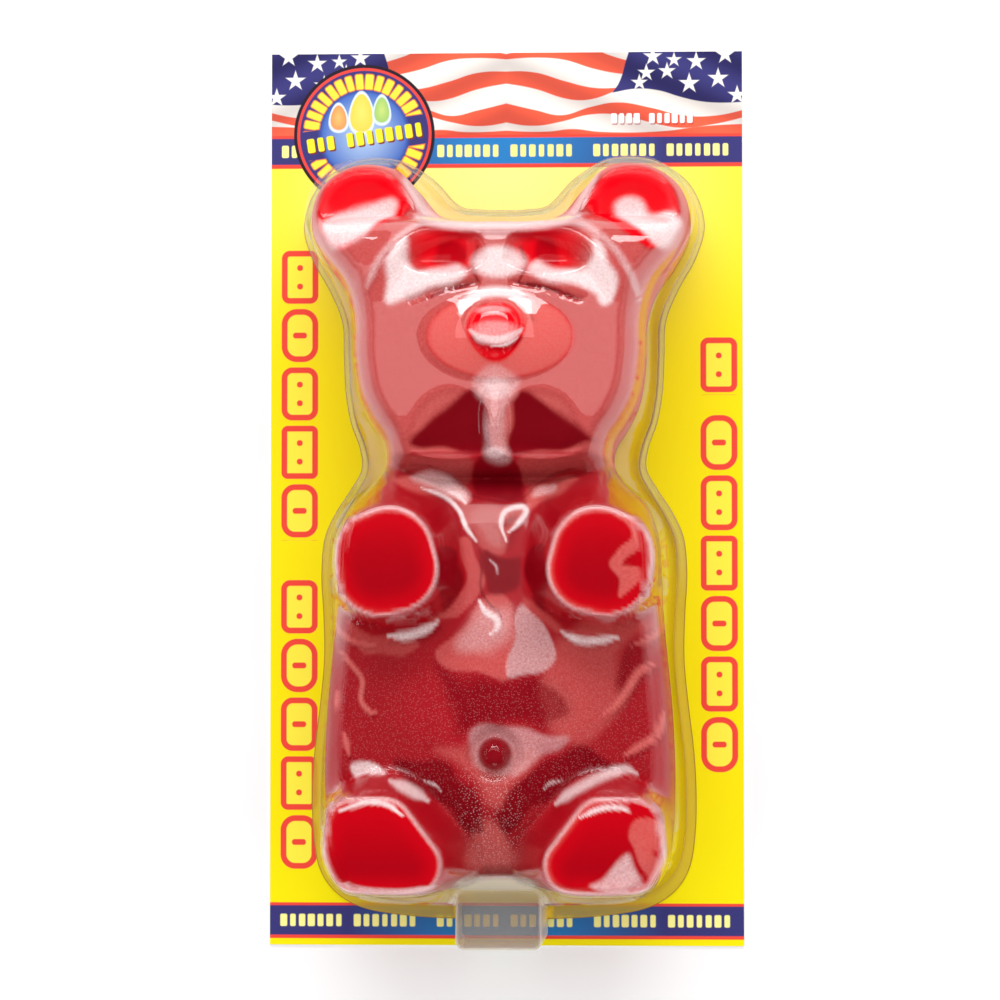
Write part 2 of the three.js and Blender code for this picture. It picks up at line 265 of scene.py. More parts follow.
# From the feet up to the crown: the bear's outline x, y, the flange's outer edge x, y and the point on the centre
# line that the station's row of the surface runs to.
STATIONS = np.array([
    (0, -129, 0, -144, -112), (13, -130.5, 17, -143.8, -110), (27, -133.2, 33, -142.8, -107.5),
    (40, -133.6, 48, -140.3, -104.5), (49.5, -130.5, 57.5, -135, -100.5), (55, -123.5, 63.2, -126.5, -95.5),
    (57.7, -113, 65.3, -114, -89), (58.3, -100, 65.6, -100, -81), (58.2, -86, 64.8, -86, -72),
    (57.3, -70, 62.9, -70, -60), (55.8, -54, 61.6, -55, -47), (54.4, -39, 61.9, -40, -35),
    (53.9, -26, 62.6, -27, -24.5), (52.8, -14, 61.6, -14.5, -15), (49, -4, 57.8, -5.5, -7),
    (42, 3, 52.6, 2.5, 0), (38.2, 9.5, 48.9, 9.5, 5), (38.6, 16, 49.6, 17, 9),
    (42.5, 22.5, 52.6, 25.5, 13), (46.8, 32, 54.4, 36, 17), (48.8, 45, 55, 48, 21),
    (49, 57, 55.6, 60, 24.5), (52, 68, 60, 71, 27.5), (58.8, 78, 66, 82, 30),
    (63.9, 90, 68.8, 94, 32), (60.5, 103, 63.5, 107.5, 33.5), (49, 110.5, 51, 115.5, 35),
    (35.5, 109.5, 36.5, 116, 36.5), (27.3, 102, 24.5, 109.5, 38), (20, 93.8, 15.5, 100.3, 40),
    (10.5, 91.6, 7.5, 98.7, 44), (0, 91.5, 0, 98.5, 50),
])


@dataclass(frozen=True)
class Lobe:
    """The torso or the head: square-shouldered along the bear, gently domed across it."""

    y: float
    half_length: float
    top: float
    sag: float
    half_width: float
    power: float

    def height(self, x: Array, y: Array) -> Array:
        """Returns top times the cube root of 1 - (distance along / half length) to the power, less the sag."""
        along = np.clip(np.abs(y - self.y) / self.half_length, 0, 1) ** self.power
        return self.top * np.cbrt(1 - along) - self.sag * (x / self.half_width) ** 2


@dataclass(frozen=True)
class Limb:
    """An arm or leg that stands up from the torso to a flat face: a polygon grown by `round`."""

    corners: tuple[tuple[float, float], ...]
    round: float
    level: float
    steep: float
    gentle: float

    def outside(self, x: Array, y: Array) -> Array:
        """Returns the distance outside the face's inner polygon, 0 inside it."""
        return np.maximum(polygon_distance(np.array(self.corners), x, y), 0)

    def height(self, x: Array, y: Array, grow: float) -> Array:
        """Returns the face's level, and past its rim a wall that is gentler toward the middle and the head."""
        outside = self.outside(x, y) - self.round - grow
        dx, dy = (c - m for c, m in zip((x, y), np.mean(self.corners, axis=0)))
        away = np.hypot(dx, dy)
        inward = (-0.8 * dx + 0.6 * dy) / (away + 1e-6)
        slope = lerp(self.steep, self.gentle, np.clip(0.5 + inward, 0, 1))
        return smooth_min(np.full_like(x, self.level), self.level - slope * outside, 2.5)


@dataclass(frozen=True)
class Relief:
    """The bear's surface as one height over each place of the plan, without undercuts."""

    torso: Lobe = Lobe(-60, 76, 70, 5, 58, 4)
    head: Lobe = Lobe(48, 45, 70, 7, 49, 10)
    arm: Limb = Limb(((31.5, -26), (36, -27), (37, -22), (33, -20.5)), 14.2, 87, 9, 2.4)
    leg: Limb = Limb(((25.5, -120), (46, -120), (44, -108), (34.5, -108)), 9.3, 87, 9, 2.6)
    shoulder: float = 10
    limb_shoulder: float = 7
    crease: tuple[tuple[float, float], ...] = ((6, 66.8), (17, 64.8), (28, 61.3))

    def curve(self, column: Column, t: Array) -> tuple[Array, Array]:
        """Returns places and directions on a closed curve of the stations, mirrored to the left half."""
        right = STATIONS[:, 2 * column.value:2 * column.value + 2]
        left = right[1:-1][::-1] * (-1, 1)
        return catmull(np.vstack([right, left]), t)

    def spine(self, t: Array) -> Array:
        """Returns the places on the centre line that rows of the surface run to."""
        at = np.where(t < 0.5, t, 1 - t) * 2 * (len(STATIONS) - 1)
        y = np.interp(at, np.arange(len(STATIONS)), STATIONS[:, 4])
        return np.stack([np.zeros_like(y), y], axis=1)

    def inset(self, x: Array, y: Array) -> Array:
        """Returns the distance inside the bear's outline."""
        border, _ = self.curve(Column.BEAR, OUTLINE)
        return line_distance(border, x, y, closed=True)

    def side(self, distance: Array, shoulder: float) -> Array:
        """Returns the share of full height: the fourth root of 1 - (1 - distance / shoulder) squared."""
        return (1 - (1 - np.clip(distance / shoulder, 0, 1)) ** 2) ** 0.25

    def muzzle(self, x: Array, y: Array) -> Array:
        """Returns the muzzle's bump, from 0 to 1."""
        return bump(x, y - 49.5, 25, 15)

    def cheek(self, ax: Array, y: Array) -> Array:
        """Returns the hollow under each cheek, from 0 to 1."""
        return bump(ax - 14, y - 14, 15, np.where(y > 14, 19, 4))

    def features(self, x: Array, y: Array, z: Array) -> Array:
        """Adds brow, eye sockets, muzzle, nose, cheeks, chin and navel to the lobes' height."""
        ax = np.abs(x)
        ring = np.hypot(x / 41, (y - 62) / 25)
        z = z + 2.5 * smoothstep(y, 60, 74) * np.clip(1 - ((ring - 1) * 5) ** 2, 0, 1) ** 2
        z = z - 7 * np.sqrt(bump(ax - 17, y - 75, 14.5, np.where(y > 75, 12, 5)))
        z = z - 1.5 * np.clip(1 - line_distance(self.crease, ax, y) / 2.5, 0, 1) ** 2
        z = z + 5 * np.sqrt(self.muzzle(x, y))
        z = z + 4.5 * plateau(x * (1.3 - 0.3 * smoothstep(y, 43, 54)), y - 51.5, 10, 10)
        z = z - 4 * np.sqrt(self.cheek(ax, y))
        z = z + 2.5 * bump(x, y - 22, 6, 17)
        away = np.hypot(x, y - NAVEL)
        z = z + 3.5 * plateau(x, y - NAVEL, 5.6, 5.6)
        return z - 2 * np.clip(1 - ((away - 6) / 4) ** 2, 0, 1) ** 2

    def height(self, x: Array, y: Array, inset: Array, grow: float = 0) -> Array:
        """Level of the bear's surface.

        Args:
            x: Places' x, from the bear's centre line.
            y: Places' y.
            inset: Their distance inside the outline.
            grow: How much the form is swollen all round.

        Returns:
            The level of each place.
        """
        ax = np.abs(x)
        away = np.hypot(ax - 44, y - 92)
        ear = 50 - 11 * np.clip(1 - (away / 16.5) ** 2, 0, 1) - 60 * np.maximum(0, away / 27 - 1)
        ear = np.where((ax > 12) & (y > 60), ear, 0)
        z = smooth_max(self.torso.height(x, y), self.head.height(x, y), 20)
        z = self.features(x, y, smooth_max(z, ear, 5))
        z = z * self.side(inset + grow, self.shoulder)
        for limb in (self.arm, self.leg):
            z = smooth_max(z, limb.height(ax, y, grow) * self.side(inset + grow, self.limb_shoulder), 2)
        return BACK + grow + z

    def row_steps(self, near: int, far: int, lengths: Array) -> Array:
        """Distances along each row: even in height on the rounded side, then even up to the spine.

        Args:
            near: Steps on the side.
            far: Steps from there to the spine.
            lengths: Each row's length.

        Returns:
            One row of distances for each row of the surface.
        """
        last = 7.8  # length of the rounded side
        heights = np.linspace(0, self.side(np.array(last), self.shoulder), near + 1)
        first = self.shoulder * (1 - np.sqrt(1 - heights ** 4))
        shares = np.arange(1, far + 1) / far
        rest = last + (lengths[:, None] - last) * shares
        return np.hstack([np.tile(first, (len(lengths), 1)), rest])


# ---------------------------------------------------------------- shader trees

def operator(operation: str, swapped: bool = False) -> Callable:
    """Returns a method that joins two values in a Math node, the second one first if swapped."""
    def join(self: "Sock", other: Value) -> "Sock":
        """Returns the Math node's result."""
        return self.tree.maths(operation, *((other, self) if swapped else (self, other)))
    return join


class Sock:
    """A shader socket whose operators add Math nodes."""

    __add__ = __radd__ = operator("ADD")
    __mul__ = __rmul__ = operator("MULTIPLY")
    __sub__, __rsub__ = operator("SUBTRACT"), operator("SUBTRACT", True)
    __pow__, __rpow__ = operator("POWER"), operator("POWER", True)
    __truediv__ = operator("DIVIDE")

    def __init__(self, tree: "Tree", socket: bpy.types.NodeSocket) -> None:
        """Wraps one output socket of a tree."""
        self.tree = tree
        self.socket = socket

    def __abs__(self) -> "Sock":
        """Returns self without its sign."""
        return self.tree.maths("ABSOLUTE", self)

    def __neg__(self) -> "Sock":
        """Returns self times -1."""
        return self * -1.0


class Tree:
    """The node tree of a material or of the surround, written as expressions."""

    def __init__(self, name: str, owner: Optional[bpy.types.World] = None) -> None:
        """Starts with an empty tree on the owner, or on a new material of that name."""
        self.owner = owner or bpy.data.materials.new(name)
        self.owner.use_nodes = True
        self.nodes = self.owner.node_tree.nodes
        self.nodes.clear()

    def feed(self, socket: bpy.types.NodeSocket, value: Any) -> None:
        """Links a Sock to a socket, or sets the socket's own value."""
        if isinstance(value, Sock):
            self.owner.node_tree.links.new(value.socket, socket)
        elif socket.type == "RGBA" and len(value) == 3:
            socket.default_value = (*value, 1)
        else:
            socket.default_value = value

    def node(self, kind: str, settings: Optional[dict] = None, values: Optional[dict] = None,
             output: Union[int, str] = 0) -> Sock:
        """Adds one node.

        Args:
            kind: The node's type.
            settings: Its own settings, which are set first.
            values: Values or links of its sockets, by name or number.
            output: The output that is wanted.

        Returns:
            That output.
        """
        made = self.nodes.new(kind)
        for key, value in (settings or {}).items():
            setattr(made, key, value)
        for key, value in (values or {}).items():
            self.feed(made.inputs[key], value)
        return Sock(self, made.outputs[output])

    def maths(self, operation: str, *values: Value) -> Sock:
        """Returns a Math node's result."""
        return self.node("ShaderNodeMath", {"operation": operation}, dict(enumerate(values)))

    def clamp(self, value: Value) -> Sock:
        """Returns the value held between 0 and 1."""
        return self.node("ShaderNodeClamp", values={0: value})

    def length(self, x: Value, y: Value) -> Sock:
        """Returns the length of the pair x, y."""
        return self.maths("SQRT", x * x + y * y)

    def scatter(self, index: Sock, start: float = 0.2) -> Sock:
        """Returns numbers from 0 to 1 that whole numbers scatter evenly."""
        return self.maths("FRACT", index * GOLDEN + start)

    def repeat(self, number: Sock, pitch: Value) -> Sock:
        """Returns the place in a cell of that pitch, from the cell's middle, with cells counted by number."""
        return (self.maths("FRACT", number) - 0.5) * pitch

    def mix(self, a: Any, b: Any, factor: Value) -> Sock:
        """Returns colour a turned toward colour b by the factor."""
        return self.node("ShaderNodeMix", {"data_type": "RGBA"}, {0: factor, 6: a, 7: b}, 2)

    def millimetres(self) -> tuple[Sock, Sock, Sock]:
        """Returns x, y and z of the piece in millimetres."""
        place = self.node("ShaderNodeTexCoord", output="Object")
        scaled = self.node("ShaderNodeVectorMath", {"operation": "SCALE"}, {0: place, "Scale": 1 / MM})
        return tuple(self.node("ShaderNodeSeparateXYZ", values={0: scaled}, output=k) for k in range(3))

    def noise(self, size: float, detail: float = 2, rough: float = 0.5) -> Sock:
        """Returns smooth noise from 0 to 1 with features about `size` millimetres across."""
        place = self.node("ShaderNodeTexCoord", output="Object")
        return self.node("ShaderNodeTexNoise", values={
            "Vector": place, "Scale": 1 / (size * MM), "Detail": detail, "Roughness": rough})

    def attribute(self, name: str) -> Sock:
        """Returns the number stored on the mesh under a name."""
        return self.node("ShaderNodeAttribute", {"attribute_name": name}, output="Fac")

    def curve(self, at: Value, points: "Curve") -> Sock:
        """Returns the height of a smooth curve through points, all between 0 and 200."""
        made = self.nodes.new("ShaderNodeFloatCurve")
        line = made.mapping.curves[0].points
        while len(line) < len(points):
            line.new(0.5, 0.5)
        for dot, (x, y) in zip(line, points):
            dot.location = (x / 200, y / 200)
        made.mapping.update()
        self.feed(made.inputs["Value"], at / 200)
        return Sock(self, made.outputs[0]) * 200

    def relief(self, height: Sock, depth: float) -> Sock:
        """Returns the normal of a fine relief of that depth in millimetres."""
        return self.node("ShaderNodeBump", values={"Strength": 1, "Distance": depth * MM, "Height": height})

    def finish(self, shader: Sock, kind: str = "Material") -> Union[bpy.types.Material, bpy.types.World]:
        """Ends the tree in a shader and returns its owner."""
        self.feed(self.nodes.new(f"ShaderNodeOutput{kind}").inputs["Surface"], shader)
        return self.owner

    def principled(self, values: dict) -> Sock:
        """Returns a Principled shader with these sockets."""
        return self.node("ShaderNodeBsdfPrincipled", values=values)


# ---------------------------------------------------------------- the gummy bear

class Look(Enum):
    """What is painted on the gummy, each as a number from 0 to 1."""

    WET = "wet"  # the film touches the gummy, which shows deep and clear
    PAINTED_SHADE = "shade"  # painted shade: folds, hollows and slopes that face away from the light, darker than the rest
    PAINTED_SHEEN = "veil"  # painted sheen: the film's pale reflection laid into the colour, with some real paleness where air lies under the film
    PAINTED_GLINT = "frost"  # painted highlights, almost white: glints of the film, its wrinkles and its bends
    GRAIN = "grain"  # fine bubbles


# The dull hollows between chin and arms, left and right, which are painted with two looks: painted shade and a painted
# sheen.
JOWLS = (((-34, 11.5), (-9, 11), (-9.5, 2), (-20, 6.5), (-31, 7)), ((8, 11), (34, 11.5), (33, 7), (20, 5.5), (10.5, 1)))

# Patches with a soft edge, by look: strength, blur, corners. Most are painted shade, a painted sheen and painted
# highlights.
PATCHES = {
    # Painted shade: cheek hollows, neck crease, chest, eye sockets, beside the paws, the belly and arcs above the legs.
    Look.PAINTED_SHADE: (
        (1, 3, ((-9.6, 31.7), (-5.2, 30.4), (-3, 25.9), (-1.2, 16.2), (-2.5, 10.9), (-13.1, 12.7), (-24.6, 14),
         (-26.8, 17.1))),
        (1, 3, ((11.6, 30.8), (7.2, 29.5), (5.9, 25.9), (4.6, 17.1), (6.3, 11.3), (29.3, 14.6), (30.2, 17.1))),
        (1, 2, ((-4.8, 10.9), (4.7, 10.9), (8.9, -1.9), (-7.4, -1.9))),
        (0.55, 4, ((-11, -3.5), (0, -4.5), (10, -3), (8, -14), (2, -20), (-5, -19), (-9, -12))),
        (0.55, 2, JOWLS[0]),
        (0.55, 2, JOWLS[1]),
        (0.55, 3, ((-20, 73), (-19, 79), (-13, 81), (-8.5, 77), (-11, 73.5))),
        (0.55, 3, ((12.5, 77), (14, 82), (19, 81), (21, 75), (16, 73))),
        (0.9, 1, ((3.4, -8.8), (6.8, -8), (6.4, -9.8), (3.2, -12))),
        (1, 2, ((-3.6, -20), (2, -22), (7.8, -22), (8.4, -30), (4, -33), (-2.6, -33))),
        (0.9, 2, ((-18, -19), (-12.5, -19), (-10.5, -25), (-11, -33), (-15, -38), (-18, -36))),
        (0.9, 2, ((10.6, -20), (17, -18), (17, -38), (12.6, -36), (10, -29))),
        (0.5, 1.2, ((48.6, -49.3), (43.6, -50.8), (39.1, -58.8), (39.6, -64.8), (41.6, -65.8), (44.6, -58.8),
         (48.6, -55.8))),
        (0.9, 8, ((-18.4, -56.8), (-8.4, -61.8), (17.6, -60.8), (25.6, -70.8), (17.6, -76.8), (3.6, -74.8),
         (-10.4, -78.8), (-14.4, -68.8))),
        (0.95, 3, ((-32.4, -87.8), (-18.4, -87.8), (-10.4, -93.8), (-4.4, -102.8), (-3.4, -110.8), (-8.4, -110.8),
         (-14.4, -102.8), (-20.4, -99.8), (-28.4, -93.8))),
        (0.95, 3, ((28.6, -82.8), (35.6, -86.8), (41.6, -89.8), (31.6, -91.8), (21.6, -97.8), (11.6, -102.8),
         (3.6, -111.8), (0.6, -102.8), (7.6, -94.8), (17.6, -86.8))),
    ),
    # Painted sheen of the film's reflection: shoulders, chest, belly, torso sides, navel, crotch, right sole and right
    # paw.
    Look.PAINTED_SHEEN: (
        (0.6, 2.5, ((-33, 3), (-26, 5.5), (-14, 4), (-9, -2), (-10, -5), (-15, -3), (-24, -1))),
        (0.55, 2.5, ((9.5, -3), (13, 1.5), (20, 4), (27, 3), (22, 0), (15, -4), (10, -7))),
        (0.42, 2, ((-10, -4.5), (0, -5.5), (9.5, -4), (8.6, -8), (3.7, -17), (1.4, -21), (-4.3, -19.4), (-8.2, -13))),
        (0.25, 2, JOWLS[0]),
        (0.25, 2, JOWLS[1]),
        (0.4, 1, ((-12.3, -16), (-8.3, -17), (-4.4, -26), (-4.2, -33), (-9, -39), (-22.8, -44.5), (-14.7, -38.3),
         (-10, -31), (-9.6, -23.6))),
        (0.3, 2, ((8.6, -35.8), (13.6, -37.3), (21.6, -44.8), (19.6, -45.8), (10.6, -39.8))),
        (0.45, 1.2, ((-4.4, -37), (-13, -47), (-18.9, -53), (-14.4, -57.8), (-3.4, -59.8), (3.4, -60.6), (5.4, -50),
         (6.6, -40.8), (2.6, -33.8), (-1.4, -34))),
        (0.35, 5, ((23.6, -45.8), (15.6, -58.8), (16.6, -73.8), (26.6, -82.8), (34.6, -76.8), (42.6, -66.8),
         (38.6, -62.8), (39.6, -53.8), (43.6, -48.8), (51.6, -42.8), (41.6, -42.8))),
        (0.3, 1.2, ((-49.4, -31.8), (-47.4, -40.8), (-42.4, -45.8), (-34.4, -47.8), (-26.4, -47.8), (-24.4, -50.8),
         (-32.4, -53.8), (-41.4, -52.8), (-47.4, -46.8))),
        (0.4, 5, ((-18.4, -84.8), (-8.4, -82.8), (7.6, -82.8), (13.6, -86.8), (5.6, -95.8), (1.6, -101.8),
         (-3.4, -100.8), (-7.4, -90.8))),
        (0.55, 5, ((-7.4, -109.8), (-1.4, -107.8), (3.6, -111.8), (4.6, -123.8), (-7.4, -123.8))),
        (0.6, 1, ((47.6, -104.8), (42.6, -110.8), (45.6, -116.8), (49.6, -122.8), (51.6, -126.8), (54.6, -120.8),
         (50.6, -115.8), (55.6, -111.8), (53.6, -105.8))),
        (0.6, 1, ((39.6, -8.8), (42.6, -12.8), (43.6, -16.8), (39.6, -20.8), (37.6, -23.8), (39.6, -28.8),
         (40.6, -35.8), (45.6, -30.8), (46.6, -26.8), (41.6, -24.8), (42.6, -23.3), (46.1, -20.8), (46.6, -14.8),
         (43.6, -9.8))),
    ),
    # Painted highlights: ear dishes, brow, chin ridge, shoulders, chest, belly, navel, leg tops and right sole.
    Look.PAINTED_GLINT: (
        (0.85, 3, ((-57.5, 88.5), (-50.5, 78.8), (-34.5, 91.5), (-38.5, 97.5))),
        (0.85, 3, ((37.7, 94.8), (40.7, 97.7), (46.6, 96.4), (49.9, 92.5), (55.8, 91.8), (60.5, 89.2), (59.1, 83.2),
         (54.9, 79.9), (50.6, 80.6), (46.6, 84.9), (40.7, 89.2))),
        (0.85, 3, ((-30, 82), (-34.9, 73.3), (-35.4, 62.7), (-33.7, 59.7), (-30.1, 61.4), (-27.9, 62.5), (-20, 65),
         (-10, 69), (-11.5, 73.6), (-17, 72), (-24.3, 70.6), (-27.5, 74), (-28.5, 79))),
        (0.85, 3, ((32, 81), (35.6, 76.8), (38.7, 69.8), (38.7, 62.7), (36.4, 60.1), (33.9, 60.5), (31, 64),
         (22, 66.5), (11.7, 69.5), (13.5, 73.7), (20, 72), (28, 70.5), (31, 74))),
        (0.3, 3, ((-6.5, 35), (-4.5, 29), (-2.4, 24), (-3, 16), (-4.2, 12), (-2.5, 9.2), (3.2, 9.2), (5, 12),
         (3.8, 16), (2.8, 24), (5.5, 29), (7.5, 35), (4, 38.5), (0.5, 39.5), (-3, 38.5))),
        (0.55, 3, ((-27, 4.5), (-15, 5), (-9, -3), (-16, -1.5))),
        (0.35, 1.5, ((11.5, -3), (14, 1), (19, 2.5), (18, -0.5))),
        (0.1, 4, ((-7, -7), (1, -7), (2, -17), (-3, -17))),
        (0.25, 6, ((-4.4, -38.8), (-12.4, -49.8), (-2.4, -52.8), (4.6, -46.8), (5.6, -38.8))),
        (0.34, 1.2, ((7.6, -38.6), (11, -39), (15.5, -44.5), (19.6, -50), (18.6, -55), (13, -59.4), (3.8, -60.4),
         (4.8, -54), (6, -47))),
        (0.25, 2.5, ((-8.4, -82.8), (-6.4, -77.8), (-0.4, -75.8), (7.6, -77.3), (16.6, -78.8), (24.6, -80.8),
         (16.6, -84.8), (8.6, -90.8), (3.6, -91.8), (-3.4, -90.8), (-7.4, -86.8))),
        (0.75, 1.2, ((-47.4, -89.8), (-42.4, -87.3), (-38.4, -88.8), (-34.4, -92.3), (-38.4, -91.8), (-42.4, -91.3),
         (-45.4, -92.8))),
        (0.5, 2.5, ((42.6, -116.8), (36.6, -122.8), (31.6, -126.8), (39.6, -128.8), (46.6, -126.8), (45.6, -120.8))),
    ),
}

# Oval patches, by look: strength, blur, middle, half widths. Besides wet and grain, they are painted shade, a painted
# sheen and painted highlights.
SPOTS = {
    Look.WET: (
        (1, 3, (1.4, 50), (11, 10)),
        (1, 2, (1.8, 49.5), (23.6, 13.6)),
    ),
    # Painted shade on the navel's knob.
    Look.PAINTED_SHADE: (
        (0.8, 2, (0, NAVEL), (6, 6)),
    ),
    # A painted sheen over the muzzle.
    Look.PAINTED_SHEEN: (
        (0.8, 2, (1.8, 49.5), (23.6, 13.6)),
    ),
    # Painted highlights on the chin ridge, nose and forehead.
    Look.PAINTED_GLINT: (
        (0.6, 5, (0.3, 32.5), (5.5, 4.5)),
        (0.6, 2.5, (0.3, 12), (3.5, 2.2)),
        (0.3, 2, (0.4, 50.4), (7.2, 3)),
        (0.35, 1.2, (-0.5, 57.2), (5, 1.3)),
        (0.8, 3, (1.2, 73.5), (8.5, 5)),
    ),
    Look.GRAIN: (
        (1, 10, (-1.5, -108), (11, 24)),
    ),
}

# Lines with soft edges, by look: strength, half width, points. They are painted shade, a painted sheen and painted
# highlights.
STROKES = {
    # Painted shade: dark creases at the brow and the bridge of the nose, under the chin and down the chest.
    Look.PAINTED_SHADE: (
        (0.9, 0.7, ((-22.9, 61.7), (-15, 64.5), (-6.2, 66.5))),
        (0.7, 0.8, ((-5, 66.5), (-6.5, 70), (-7, 74), (-5.5, 79))),
        (0.7, 0.8, ((7.5, 66.5), (9, 70), (9.5, 74), (8, 79))),
        (0.9, 0.7, ((7.6, 66.5), (17.5, 64.9), (27.8, 61.1))),
        (0.8, 0.5, ((-31, 8), (-22.8, 8), (-14.7, 5), (-10.7, 0.6), (-6.7, -2.3), (1.4, -3.6), (8.6, -2.6),
         (12.7, 1.4), (19.1, 5.4), (25.5, 7))),
        (0.9, 0.6, ((-5, -18.8), (-4.2, -25.8), (-4.6, -31.8), (-2, -36.8), (1.6, -40), (2.2, -43))),
    ),
    # A painted sheen along pale streaks of the film on the torso's sides and under the paws.
    Look.PAINTED_SHEEN: (
        (0.75, 1.3, ((51.6, -56.3), (46.6, -58.8), (42.6, -64.8), (38.6, -69.8), (34.6, -72.8))),
        (0.75, 1.2, ((54.6, -71.8), (52.6, -78.8), (46.6, -82.8), (41.6, -85.8))),
        (0.75, 0.8, ((-51.4, -51.3), (-46.4, -56.8), (-42.9, -61.8), (-43.4, -67.8), (-40.4, -71.8), (-36.4, -72.3))),
        (0.75, 1.2, ((-51.4, -65.8), (-51.6, -71.8))),
        (0.75, 1.4, ((-48.9, -78.8), (-47.4, -85.3))),
        (0.75, 1.2, ((-52.4, -95.3), (-50.9, -96.8))),
        (0.6, 1, ((-57, -36), (-53, -44), (-46, -49), (-38, -50.5))),
        (0.6, 1, ((44, -50.5), (51, -47.5), (56, -42), (58.5, -36))),
    ),
    # Painted highlights: crown, ear rims, muzzle and nose, the face's edge, shoulders, chest, under the paws, leg tops
    # and soles.
    Look.PAINTED_GLINT: (
        (0.75, 2.6, ((-26, 90), (-14, 87.5), (0, 86.6), (14, 87.5), (26, 90))),
        (0.6, 1.8, ((-32, 107), (-27.5, 99), (-23.5, 92.5), (-18, 89.5))),
        (0.5, 1.4, ((33, 107), (28.5, 99), (25, 92.5), (20, 89.5))),
        (0.95, 1.7, ((-11, 56.5), (-9.5, 60), (-5.5, 62.6), (0.4, 63.7), (6.6, 62.6), (10, 60), (11.4, 57))),
        (0.75, 1.5, ((-7.6, 50.6), (-4.4, 48.4), (0.4, 47.4), (5, 48.3), (8.7, 50.9))),
        (0.9, 0.4, ((-1, 45.3), (4, 46), (8, 48.6))),
        (0.35, 1.2, ((-42, 65.8), (-37.2, 75.3), (-30.7, 82.4), (-24.3, 87), (-16.2, 88.8), (1.5, 86), (16.1, 88),
         (25.7, 87.5), (32.2, 84), (39, 77.5), (44.1, 69.4), (46.7, 62))),
        (0.85, 1.3, ((-15.4, -0.6), (-12.4, -1.6), (-9.8, -4.2))),
        (0.8, 0.7, ((-24, 0.5), (-17, -2), (-12, -6.5), (-9.5, -12), (-6, -17))),
        (0.8, 0.8, ((3.6, -16.7), (2, -12), (2.2, -8.6), (4.2, -6.4), (8.6, -5.5), (9.8, -7.5), (7, -11.5),
         (4.2, -14))),
        (0.5, 0.6, ((-1.5, -23), (0.4, -25), (0.8, -27.5))),
        (0.8, 1.2, ((-5, -36), (-3, -39.5), (0.6, -42), (0.6, -45), (-1.5, -46.8))),
        (0.8, 1.4, ((-34.4, -47.3), (-28.4, -47.3), (-22.4, -45.3), (-18.4, -42.8))),
        (0.8, 1.2, ((21.6, -46.3), (27.6, -48.8), (33.6, -48.8), (39.6, -47.8))),
        (0.65, 1.5, ((-33.4, -93.8), (-28.4, -95.8), (-23.4, -98.8), (-21.4, -100.3))),
        (0.65, 1.4, ((19.6, -101.3), (25.6, -96.8), (33.6, -92.8), (41.6, -90.3), (45.6, -91.8))),
        (0.85, 0.8, ((-48.4, -102.8), (-40.4, -100.1), (-33.4, -100.8), (-28.4, -104.3))),
        (0.85, 0.8, ((27.6, -104.8), (33.6, -102.1), (39.6, -101.5), (44.6, -102.8))),
        (0.5, 0.6, ((-23.4, -93.8), (-19.4, -95.3), (-17.4, -97.3))),
        (0.5, 0.6, ((15.6, -96.8), (17.6, -94.8), (21.6, -93.8))),
        (0.5, 1, ((-48.4, -125.8), (-40.4, -127.8), (-28.4, -128.3), (-18.4, -126.8))),
    ),
}


def entries(table: dict[Look, tuple]) -> Iterator[tuple]:
    """Yields a table's entries one by one, each with its look in front."""
    for look, rows in table.items():
        for row in rows:
            yield (look, *row)


@dataclass(frozen=True)
class Gummy:
    """Red cast gummy: deep and clear where the film wets it, paler where air lies between, with painted shade, a
    painted sheen of the film's reflection and painted highlights in its colour.
    """

    wet: Colour = srgb(236, 0, 20)
    dry: Colour = srgb(166, 24, 34)
    # Painted shade: the red that darkens folds, hollows and slopes away from the light.
    painted_shade_red: Colour = srgb(128, 0, 16)
    # A painted sheen: the pale pink of the film's reflection over the gummy.
    veil: Colour = srgb(222, 112, 106)
    # White of the painted highlights, and of the fine bubbles' specks.
    frost: Colour = srgb(246, 226, 226)

    def material(self) -> bpy.types.Material:
        """Returns the material, driven by the bear's painted attributes."""
        tree = Tree("red_gummy")
        wet, shade, veil, frost, grain = (tree.attribute(look.value) for look in Look)
        fine = tree.noise(0.8, 3, 0.7)
        cloud = tree.noise(9, 3)
        colour = tree.mix(self.dry, self.wet, wet)
        # Painted shade, varied by a cloudy noise where the gummy is not wet.
        colour = tree.mix(colour, self.painted_shade_red, tree.clamp(shade + (cloud - 0.5) * 0.35 * (1 - wet)))
        ragged = (fine - 0.5) * 0.35
        # The painted sheen of the film's reflection, with ragged edges.
        colour = tree.mix(colour, self.veil, tree.clamp(veil + (ragged * (1 - veil) * 4 + (fine - 0.5) * 0.6) * veil))
        place = tree.node("ShaderNodeTexCoord", output="Object")
        cells = tree.node("ShaderNodeTexVoronoi", {"feature": "F1"}, {"Vector": place, "Scale": 1 / (0.62 * MM)})
        speck = tree.clamp((0.36 - cells) * 6) * grain
        # Painted highlights, and specks of fine bubbles where there is grain.
        colour = tree.mix(colour, self.frost, tree.clamp(
            speck * (0.16 + 0.34 * fine) + (1 + ragged * (1 - frost) * 4 + (fine - 0.5) * 0.8) * frost))
        normal = tree.relief(fine * grain + cloud * 0.5, 0.12)
        return tree.finish(tree.principled({
            "Base Color": colour, "Roughness": tree.clamp(0.5 - wet * 0.3), "IOR": 1.15,
            "Normal": normal}))


